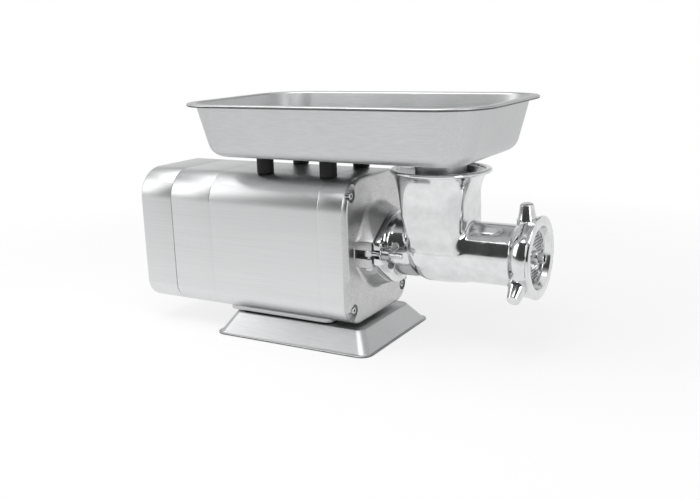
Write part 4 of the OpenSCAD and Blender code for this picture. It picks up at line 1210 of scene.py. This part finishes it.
@dataclass
class SwingBolts:
    """The two eye bolts with their pivot pins, washers and wing nuts."""

    pin_r: float = 2.8
    pin_low: float = -18.2
    pin_high: float = 12.1
    pin_head: float = 3.6
    shank_r: float = 3.9
    end: float = 63.0
    washer_x: float = 36.1
    washer_t: float = 1.5
    nut_x: float = 37.7
    hub_l: float = 10.0
    wing_r: float = 17.2
    wing_tilt: float = 29.0
    wing_t: float = 3.4
    wing_taper: float = 0.35
    voxel: float = 0.42

    def build(self) -> None:
        """Makes both sides."""
        self.pins()
        for hand in Hand:
            self.bolt(hand)
            self.washer(hand)
            self.wing_nut(hand)

    def pins(self) -> None:
        """The two upright pivot pins, pushed in from below, with a hexagon head there."""
        sketch = Sketch()
        low, high, foot, r = self.pin_low, self.pin_high, self.pin_low - self.pin_head, self.pin_r
        across = 8.0 / math.cos(math.radians(30)) / 2
        for hand in Hand:
            origin = (PIVOT_X, hand.value * PIVOT_Y, AXIS_Z)
            sketch.lathe([(low, 0), (low, r), (high - 0.6, r), (high, r - 0.6), (high, 0)], Axis.Z, origin, 36)
            sketch.lathe([(foot, 0), (foot, across - 0.8), (foot + 0.5, across), (low - 0.3, across),
                          (low, across - 0.4), (low, 0)], Axis.Z, origin, 6)
        dress(sketch.mesh("pivot_pins"), BRIGHT, "pivot_pins")

    def bolt(self, hand: Hand) -> None:
        """An eye bolt: a turned eye, a neck and a threaded shank."""
        y = hand.value * PIVOT_Y
        eye = Sketch()
        bore = self.pin_r + 0.05
        eye.lathe([(-3.8, bore), (-3.8, 5.3), (-3.0, 6.05), (0, 6.2), (3.0, 6.05), (3.8, 5.3), (3.8, bore)],
                  Axis.Z, (PIVOT_X, y, AXIS_Z), 40)
        shank = Sketch()
        profile = [(5.2, 0), (5.2, 3.6), (9.0, 3.4), (12.0, 3.3)]
        pitch = 1.25
        x = 12.0
        while PIVOT_X + x < self.end - 1.6:
            profile += [(x + pitch * 0.5, self.shank_r), (x + pitch, 3.3)]
            x += pitch
        length = self.end - PIVOT_X
        profile += [(length - 0.8, 3.3), (length, 2.6), (length, 0)]
        shank.lathe(profile, Axis.X, (PIVOT_X, y, AXIS_Z), 28)
        bolt = eye.mesh(f"eye_bolt_{hand.tag}")
        carve(bolt, [shank.mesh("shank")], "UNION")
        dress(bolt, BRIGHT, f"swing_bolt_{hand.tag}", f"bolt_{hand.tag}", angle=25)

    def washer(self, hand: Hand) -> None:
        """A plain washer with broken edges."""
        t, hole = self.washer_t, self.shank_r + 0.1
        profile = [(0, hole), (0, 7.8), (0.2, 8), (t - 0.2, 8), (t, 7.8), (t, hole)]
        name = f"washer_{hand.tag}"
        turned(name, BRIGHT, profile, (self.washer_x, hand.value * PIVOT_Y, AXIS_Z), steps=36, body=name)

    def wing_nut(self, hand: Hand) -> None:
        """A cast wing nut: hub and wings joined, remeshed and smoothed so that they flow together."""
        side = hand.value
        centre = Vector((self.nut_x, side * PIVOT_Y, AXIS_Z))
        hub, end = Sketch(), self.hub_l
        hub.lathe([(0, 4.1), (0, 7.0), (0.6, 7.3), (3, 7.2), (end - 0.8, 5.9), (end, 5.2), (end, 4.1)],
                  origin=tuple(centre), steps=36)
        nut = hub.mesh(f"winged_nut_{hand.tag}")
        wings = Sketch()
        for turn in (0.0, 180.0):
            tip = arc((13.5, self.wing_r - 5.2), 5.2, -50, 200, 12)
            outline = [(2.5, 4.6), (9.0, 4.6)] + tip
            angle = math.radians(turn + 90 + side * self.wing_tilt)
            spin = Matrix.Rotation(angle, 4, "X")
            before = len(wings.bm.verts)
            wings.prism([(x, r, -self.wing_t / 2) for x, r in outline], (0, 0, self.wing_t))
            wings.bm.verts.ensure_lookup_table()
            fresh = wings.bm.verts[before:]
            for vert in fresh:
                vert.co.z *= 1.0 - self.wing_taper * max(0.0, (vert.co.y - 6) / 12)
            bmesh.ops.transform(wings.bm, matrix=Matrix.Translation(centre) @ spin, verts=fresh)
        wings.soften(0.9, 3)
        carve(nut, [wings.mesh("wings")], "UNION")
        grid = nut.modifiers.new("grid", "REMESH")
        grid.mode = "VOXEL"
        grid.voxel_size = self.voxel * MM
        flow = nut.modifiers.new("flow", "SMOOTH")
        flow.factor = 0.5
        flow.iterations = 5
        apply_modifiers(nut)
        dress(nut, FORGED, f"wing_nut_{hand.tag}", f"nut_{hand.tag}", angle=70)


# ------------------------------------------------------------ ring and screw


@dataclass
class RingNut:
    """The ring nut that holds the hole plate."""

    back: float = 187.6
    front: float = 215.8
    radius: float = 50.0
    rear_r: float = 39.2
    shoulder: float = 20.0
    swell: float = 9.5
    bore_r: float = 38.4
    seat_x: float = 206.1
    lip_r: float = 33.4
    ledge_t: float = 2.2
    mouth_r: float = 37.9
    lug_x: float = 200.0
    lug_angles: tuple[float, float, float] = (98.0, 218.0, 338.0)
    lug_base_r: float = 10.2
    lug_tip_r: float = 7.8
    lug_reach: float = 66.0

    def build(self) -> None:
        """Makes the nut and its three lugs."""
        b, f, r = self.back, self.front, self.radius
        profile = [(b, self.bore_r), (b, self.rear_r - 0.6), (b + 0.25, self.rear_r - 0.15)]
        rise = [(i + 1) / 24 for i in range(24)]
        profile += [(b + self.shoulder * t, self.rear_r + self.swell * (1 - (1 - t)**2.2)) for t in rise]
        profile += [(f - 4.6, r - 1.3), (f - 3.9, r - 0.9), (f - 3.3, r - 0.25), (f - 2.6, r), (f - 1.0, r),
                    (f - 0.3, r - 0.3), (f, r - 1.0)]
        ledge, mouth = self.seat_x + self.ledge_t, self.mouth_r
        profile += [(f, mouth + 1.0), (f - 0.35, mouth + 0.3), (f - 1.0, mouth), (ledge + 0.7, mouth - 0.7),
                    (ledge + 0.1, mouth - 1.0), (ledge, mouth - 1.6), (ledge, self.lip_r + 0.3),
                    (ledge - 0.3, self.lip_r), (self.seat_x, self.lip_r), (self.seat_x, self.bore_r)]
        sketch = Sketch()
        sketch.lathe(profile, steps=160)
        ring = sketch.mesh("ring_nut")
        carve(ring, [self.lug(angle) for angle in self.lug_angles], "UNION")
        dress(ring, POLISHED, "ring_nut", "ring", angle=30)

    def lug(self, angle: float) -> bpy.types.Object:
        """One tapered lug with a rounded end."""
        start = 42.0
        length = self.lug_reach - start
        sketch = Sketch()
        base, tip = self.lug_base_r, self.lug_tip_r
        profile = [(0, 0), (0, base + 2.4), (5.2, base + 2.0), (6.6, base + 0.9), (8.2, base),
                   (length - 1.6, tip + 0.15), (length - 0.6, tip - 0.25), (length, tip - 1.3), (length, 0)]
        sketch.lathe(profile, Axis.Y, (0, start, 0), 48)
        turn = Matrix.Translation((self.lug_x, 0, AXIS_Z)) @ Matrix.Rotation(math.radians(angle), 4, "X")
        bmesh.ops.transform(sketch.bm, matrix=turn, verts=sketch.bm.verts)
        return sketch.mesh("lug")


@dataclass
class Screw:
    """The screw: core, flight, tang, knife square and the stub that shows through the ring."""

    back: float = 36.5
    front: float = 186.0
    core_r: float = 14.0
    flight_r: float = 31.6
    pitch: float = 42.0
    stub_r: float = 8.4
    end: float = 220.0
    square: float = 15.0

    def build(self) -> None:
        """Makes the screw in three parts: core with tang, flight and stub."""
        core = Sketch()
        core.lathe([(22, 0), (22, 13.6), (22.4, self.core_r), (self.front - 0.6, self.core_r), (self.front, 13.4),
                    (self.front, 0)], steps=64)
        core.block((5, -7.7, AXIS_Z - 7.7), (22.5, 7.7, AXIS_Z + 7.7))
        half = self.square / 2
        core.block((self.front - 1, -half, AXIS_Z - half), (197.8, half, AXIS_Z + half))
        dress(core.mesh("auger_core"), POLISHED, "auger", "screw")
        self.flight()
        r, end = self.stub_r, self.end
        stub = [(197.0, 0), (197.0, r), (end - 7.4, r), (end - 6.6, r - 0.5), (end - 6.4, r - 1.7),
                (end - 0.6, r - 1.9), (end, r - 2.4), (end, 5.2), (end - 0.5, 4.8), (end - 11, 4.8), (end - 11, 0)]
        turned("auger_stub", BRIGHT, stub, steps=64, node="auger", body="screw")

    def flight(self) -> None:
        """The flight: a tapered blade section wound along the core."""
        root, crest = self.core_r, self.flight_r
        section = [(-6.0, root - 1), (-4.0, root + 4), (-2.6, crest - 1), (-2.0, crest),
                   (2.0, crest), (2.6, crest - 1), (4.0, root + 4), (6.0, root - 1)]
        sketch = Sketch()
        sketch.wind(section, self.back + 6, self.pitch, (self.front - self.back - 12) / self.pitch, 48)
        dress(sketch.mesh("auger_flight"), POLISHED, "auger", "screw", angle=35)


# ----------------------------------------------------------------------- tray


@dataclass
class Tray:
    """The lift-off feed tray and its spout."""

    back: float = -228.2
    length: float = 414.2
    half_w: float = 130.0
    rim_z: float = 309.0
    floor_z: float = 241.5
    rim_w: float = 13.0
    rim_r: float = 64.0
    bead_r: float = 1.9
    wall: float = 1.2
    slope: float = 14.0
    fillet: float = 20.0
    edge_r: float = 3.0
    spout_x: float = 88.2
    spout_r: float = 31.5
    spout_low: float = 205.0

    def loop(self, inset: float, z: float) -> Loop:
        """The tray's outline, moved inwards by inset, at a height."""
        front = self.back + self.length - inset
        return at_height(round_rect(self.back + inset, front, self.half_w - inset, self.rim_r - inset, 14), z)

    def build(self) -> None:
        """Makes the bowl and the spout."""
        self.bowl()
        self.spout()

    def bowl(self) -> None:
        """The bowl: a rolled rim, a flat flange, sloping walls, a round floor edge and the spout's hole."""
        centre = self.rim_z - self.bead_r
        stations = [(self.bead_r - out, centre + z) for out, z in arc((0, 0), self.bead_r - 0.04, -130, 90, 10)]
        flange_end, edge = self.rim_w - self.edge_r, self.edge_r
        stations += [(flange_end + edge * math.sin(a), self.rim_z - edge + edge * math.cos(a))
                     for a in (0.0, 0.35, 0.7, 1.05, 1.32)]
        slope = math.radians(self.slope)
        wall_in = (self.rim_z - self.floor_z) * math.tan(slope)
        fillet, steps = self.fillet, 8
        fillet_in = self.rim_w + wall_in + fillet * math.tan(math.pi / 4 - slope / 2)
        for i in range(steps + 1):
            a = slope + (math.pi / 2 - slope) * i / steps
            stations.append((fillet_in - fillet * math.cos(a), self.floor_z + fillet * (1 - math.sin(a))))
        loops = [self.loop(inset, z) for inset, z in stations]
        count = len(loops[0])
        hole = self.spout_r - 0.2
        first = loops[-1][0]
        start = math.degrees(math.atan2(first[1], first[0] - self.spout_x))
        ring = arc((self.spout_x, 0), hole, start, start + 360, count)[:-1]
        loops.append(at_height(ring, self.floor_z))
        sketch = Sketch()
        sketch.loft(loops)
        bowl = sketch.mesh("tray")
        thicken(bowl, self.wall)
        dress(bowl, SATIN, "tray", "feed_tray", angle=55)
        # The tray's rolled bead gets the same dark rim finish, which is painted shade.
        bead = Sketch()
        bead.loft([self.loop(self.bead_r - out, centre + z) for out, z in arc((0, 0), self.bead_r, -100, 2, 8)])
        dress(bead.mesh("tray_rim"), RIM_PAINTED_SHADE, "tray", "feed_tray", angle=60)

    def spout(self) -> None:
        """The spout, welded under the floor's hole."""
        r, low, floor, top = self.spout_r, self.spout_low, self.floor_z, self.floor_z + self.wall
        profile = [(low, r - 1.5), (low, r - 0.3), (low + 0.3, r), (floor - 1.2, r), (floor - 0.1, r + 1.3),
                   (floor, r + 1.3), (floor, r), (top, r - 0.25), (top, r - 1.2), (top - 1.0, r - 1.5)]
        turned("tray_spout", SATIN, profile, (self.spout_x, 0, 0), axis=Axis.Z, steps=72, body="feed_tray")


# ------------------------------------------------------------------- controls


@dataclass
class Controls:
    """The control plate with its two buttons, the reset button and the mains inlet, on the +y side."""

    side_y: float = 79.5
    plate_x: float = -118.0
    plate_z: float = 150.0
    plate_l: float = 84.0
    plate_h: float = 44.0
    plate_t: float = 2.0
    button_r: float = 11.0
    pitch: float = 40.0
    reset_x: float = -12.0
    reset_z: float = 55.0
    inlet_x: float = -303.0
    inlet_z: float = 84.0
    flange_half: Flat = (25.0, 14.5)
    block_half: Flat = (15.5, 11.5)
    inlet_screw_x: float = 20.0

    def build(self) -> None:
        """Makes every control."""
        self.plate()
        self.button("start_button", "start", self.plate_x + self.pitch / 2, 5.0, GREEN)
        self.button("stop_button", "stop", self.plate_x - self.pitch / 2, 6.0, RED)
        self.reset()
        self.inlet()

    def plate(self) -> None:
        """The plate, with a hole for each button."""
        sketch = Sketch()
        half_l, half_h = self.plate_l / 2, self.plate_h / 2
        outline = round_rect(self.plate_x - half_l, self.plate_x + half_l, half_h, 6, 8)
        sketch.prism([(x, self.side_y, self.plate_z + h) for x, h in outline], (0, self.plate_t - 0.05, 0))
        sketch.soften(0.6, 2)
        plate = sketch.mesh("control_plate")
        holes = Sketch()
        for side in (-1, 1):
            x = self.plate_x + side * self.pitch / 2
            holes.round_bar((x, self.side_y - 2, self.plate_z), Axis.Y, 8, self.button_r + 0.3)
        carve(plate, [holes.mesh("holes")])
        dress(plate, PANEL, "control_plate")

    def button(self, node: str, body: str, x: float, height: float, finish: Finish) -> None:
        """A push button with a dished face."""
        r, top = self.button_r, self.plate_t + height
        profile = [(-6, 0), (-6, r), (top - 1.6, r), (top - 0.7, r - 0.3), (top - 0.1, r - 1.1), (top, r - 1.9),
                   (top - 0.5, r * 0.5), (top - 0.7, 0)]
        turned(node, finish, profile, (x, self.side_y, self.plate_z), axis=Axis.Y, steps=56, body=body)

    def reset(self) -> None:
        """The reset button's round collar and its soft pale boot."""
        origin = (self.reset_x, self.side_y, self.reset_z)
        collar = [(-8, 4.3), (-8, 5.9), (0, 5.9), (0, 9), (3.6, 9), (4.4, 8.5), (5, 7.4), (5, 4.3)]
        turned("reset_collar", BLACK, collar, origin, axis=Axis.Y, steps=48)
        boot = [(-1, 0), (-1, 4), (8, 4), (8, 6.6), (8.4, 7), (11.4, 6.9), (12.6, 6.4), (13.5, 5.2), (13.9, 3.2),
                (14, 0)]
        turned("reset_button", PALE, boot, origin, axis=Axis.Y, steps=48, body="reset")

    def inlet(self) -> None:
        """The mains inlet: a flanged block with a keyed socket, and its two screws."""
        mid, y, z = self.inlet_x, self.side_y, self.inlet_z
        sketch = Sketch()
        half_l, half_h = self.flange_half
        outline = round_rect(mid - half_l, mid + half_l, half_h, 4, 8)
        sketch.prism([(x, y, z + h) for x, h in outline], (0, 3, 0))
        half_l, half_h = self.block_half
        sketch.block((mid - half_l, y - 22, z - half_h), (mid + half_l, y + 0.5, z + half_h))
        sketch.soften(0.5, 2)
        body = sketch.mesh("mains_inlet")
        socket = Sketch()
        keyed = [(-12.5, -8.5), (12.5, -8.5), (12.5, 3.5), (7.5, 8.5), (-7.5, 8.5), (-12.5, 3.5)]
        socket.prism([(mid + x, y - 17, z + h) for x, h in keyed], (0, 30, 0))
        carve(body, [socket.mesh("socket")])
        dress(body, BLACK, "mains_inlet")
        profile = [(2, 0), (2, 3.2), (3.3, 3.2), (4.2, 2.4), (4.5, 1.2), (3.7, 0.9), (3.7, 0)]
        places = [(mid + x, y, z) for x in (-self.inlet_screw_x, self.inlet_screw_x)]
        turned("inlet_screws", BRIGHT, profile, *places, axis=Axis.Y, steps=28)


# --------------------------------------------------------------------- studio


@dataclass
class Studio:
    """The floor, the world, three soft lamps and the camera."""

    camera_at: Point = (515.2, -964.4, 384.9)
    yaw: float = 30.06
    pitch: float = 13.82
    roll: float = -1.69
    lens: float = 44.65
    floor_r: float = 1.15
    floor_glow: float = 0.76
    floor_fade: tuple[float, float] = (0.45, 0.95)

    def build(self) -> None:
        """Makes everything that isn't part of the object."""
        self.camera()
        self.world()
        self.floor()
        self.lamp("top box", (-0.15, -0.35, 1.15), (-0.05, 0.0, 0.15), (1.3, 0.7), 9.0)
        self.lamp("left box", (-1.25, -0.75, 0.75), (-0.1, 0.0, 0.15), (0.7, 0.9), 4.5)
        self.lamp("right box", (1.25, -0.55, 0.65), (0.1, 0.0, 0.15), (0.35, 0.9), 3.5)
        bpy.context.scene.view_settings.view_transform = "Standard"

    def camera(self) -> None:
        """The camera, from its place and its three turns."""
        data = bpy.data.cameras.new("camera")
        data.sensor_width = 36.0
        data.lens = self.lens
        data.clip_end = 20.0
        camera = place("camera", data)
        yaw, pitch, roll = (Matrix.Rotation(math.radians(angle), 4, axis)
                            for angle, axis in ((self.yaw, "Z"), (90 - self.pitch, "X"), (self.roll, "Z")))
        x, y, z = (c * MM for c in self.camera_at)
        camera.matrix_world = Matrix.Translation((x + PLATE_X, y, z)) @ (yaw @ pitch @ roll)
        bpy.context.scene.camera = camera

    def world(self) -> None:
        """A white surround, with a darker room in the directions that polished metal picks up."""
        world = bpy.data.worlds.new("surround")
        bpy.context.scene.world = world
        world.use_nodes = True
        nodes = Nodes(world.node_tree)
        nodes.tree.nodes.clear()
        split = nodes.node("ShaderNodeSeparateXYZ", {0: nodes.node("ShaderNodeTexCoord").outputs["Generated"]})
        height, depth = (
            nodes.node("ShaderNodeMapRange", {"Value": split.outputs[axis], "From Min": low, "From Max": high})
            for axis, low, high in (("Z", -1.0, 1.0), ("Y", -0.36, -0.20)))
        near = ((0.0, 0.86), (0.485, 0.86), (0.50, 0.60), (0.515, 0.05), (0.86, 0.07), (0.92, 0.35), (1.0, 0.80))
        far = ((0.0, 0.86), (0.50, 0.88), (0.68, 0.78), (0.76, 0.25), (0.80, 0.28), (0.86, 0.55), (0.92, 0.92),
               (1.0, 0.95))
        grey_near, grey_far = (nodes.ramp(height.outputs["Result"], stops) for stops in (near, far))
        mix = {0: depth.outputs["Result"], 6: grey_near, 7: grey_far}
        walls = nodes.node("ShaderNodeMix", mix, data_type="RGBA").outputs[2]
        room, soft, white = (
            nodes.node("ShaderNodeBackground", {"Color": colour, "Strength": strength}).outputs[0]
            for colour, strength in ((walls, 1.0), (WHITE, 0.55), (WHITE, 1.0)))
        path = nodes.node("ShaderNodeLightPath").outputs
        for_metal = nodes.mixed(path["Is Glossy Ray"], soft, room)
        for_eye = nodes.mixed(path["Is Camera Ray"], for_metal, white)
        nodes.node("ShaderNodeOutputWorld", {"Surface": for_eye})

    def floor(self) -> None:
        """A pale round floor that keeps the shadow and fades into the white surround."""
        bm = bmesh.new()
        bmesh.ops.create_circle(bm, cap_ends=True, radius=self.floor_r, segments=96)
        data = bpy.data.meshes.new("floor")
        bm.to_mesh(data)
        bm.free()
        floor = place("floor", data)
        graph = Graph("floor")
        graph.shader.inputs["Base Color"].default_value = (0.86, 0.86, 0.86, 1.0)
        graph.shader.inputs["Roughness"].default_value = 0.9
        path = graph.node("ShaderNodeLightPath").outputs
        rays = {0: path["Is Camera Ray"], 1: path["Is Glossy Ray"]}
        seen = graph.node("ShaderNodeMath", rays, operation="MAXIMUM")
        lift = graph.node("ShaderNodeMath", {0: seen.outputs[0], 1: self.floor_glow}, operation="MULTIPLY")
        glow = graph.node("ShaderNodeEmission", {"Color": WHITE})
        lit = graph.mixed(lift.outputs[0], graph.shader.outputs[0], glow.outputs[0])
        length = graph.node("ShaderNodeVectorMath", {0: graph.coords}, operation="LENGTH")
        start, end = (self.floor_r * part for part in self.floor_fade)
        edge = graph.node("ShaderNodeMapRange", {
            "Value": length.outputs["Value"], "From Min": start, "From Max": end})
        clear = graph.node("ShaderNodeBsdfTransparent")
        fade = graph.mixed(edge.outputs["Result"], lit, clear.outputs[0])
        graph.link(fade, graph.tree.nodes["Material Output"].inputs["Surface"])
        data.materials.append(graph.material)

    def lamp(self, name: str, at: Point, aim: Point, size: Flat, power: float) -> None:
        """A rectangular softbox.

        Args:
            name: the lamp's name.
            at: its place in metres.
            aim: the point it faces.
            size: its two sides.
            power: its power in watts.
        """
        data = bpy.data.lights.new(name, "AREA")
        data.shape = "RECTANGLE"
        data.size, data.size_y = size
        data.energy = power
        lamp = place(name, data)
        lamp.location = at
        lamp.rotation_euler = (Vector(aim) - Vector(at)).to_track_quat("-Z", "Y").to_euler()


def carry_over() -> None:
    """Dresses the CAD nodes that stay as they are."""
    for finish, nodes in CARRIED_OVER.items():
        for name in nodes:
            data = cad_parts[name].data
            data.materials.clear()
            data.materials.append(finish.material())


def main() -> None:
    """Builds the scene in order."""
    logging.basicConfig(level=logging.INFO, format="%(message)s")
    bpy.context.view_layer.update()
    Studio().build()
    section = HousingShape()
    Base().build(section)
    Housing(section).build()
    FrontPlate(section).build()
    TrayFeet().build()
    Head(HeadShape()).build()
    SwingBolts().build()
    RingNut().build()
    Screw().build()
    Tray().build()
    Controls().build()
    carry_over()


if __name__ == "__main__":
    main()
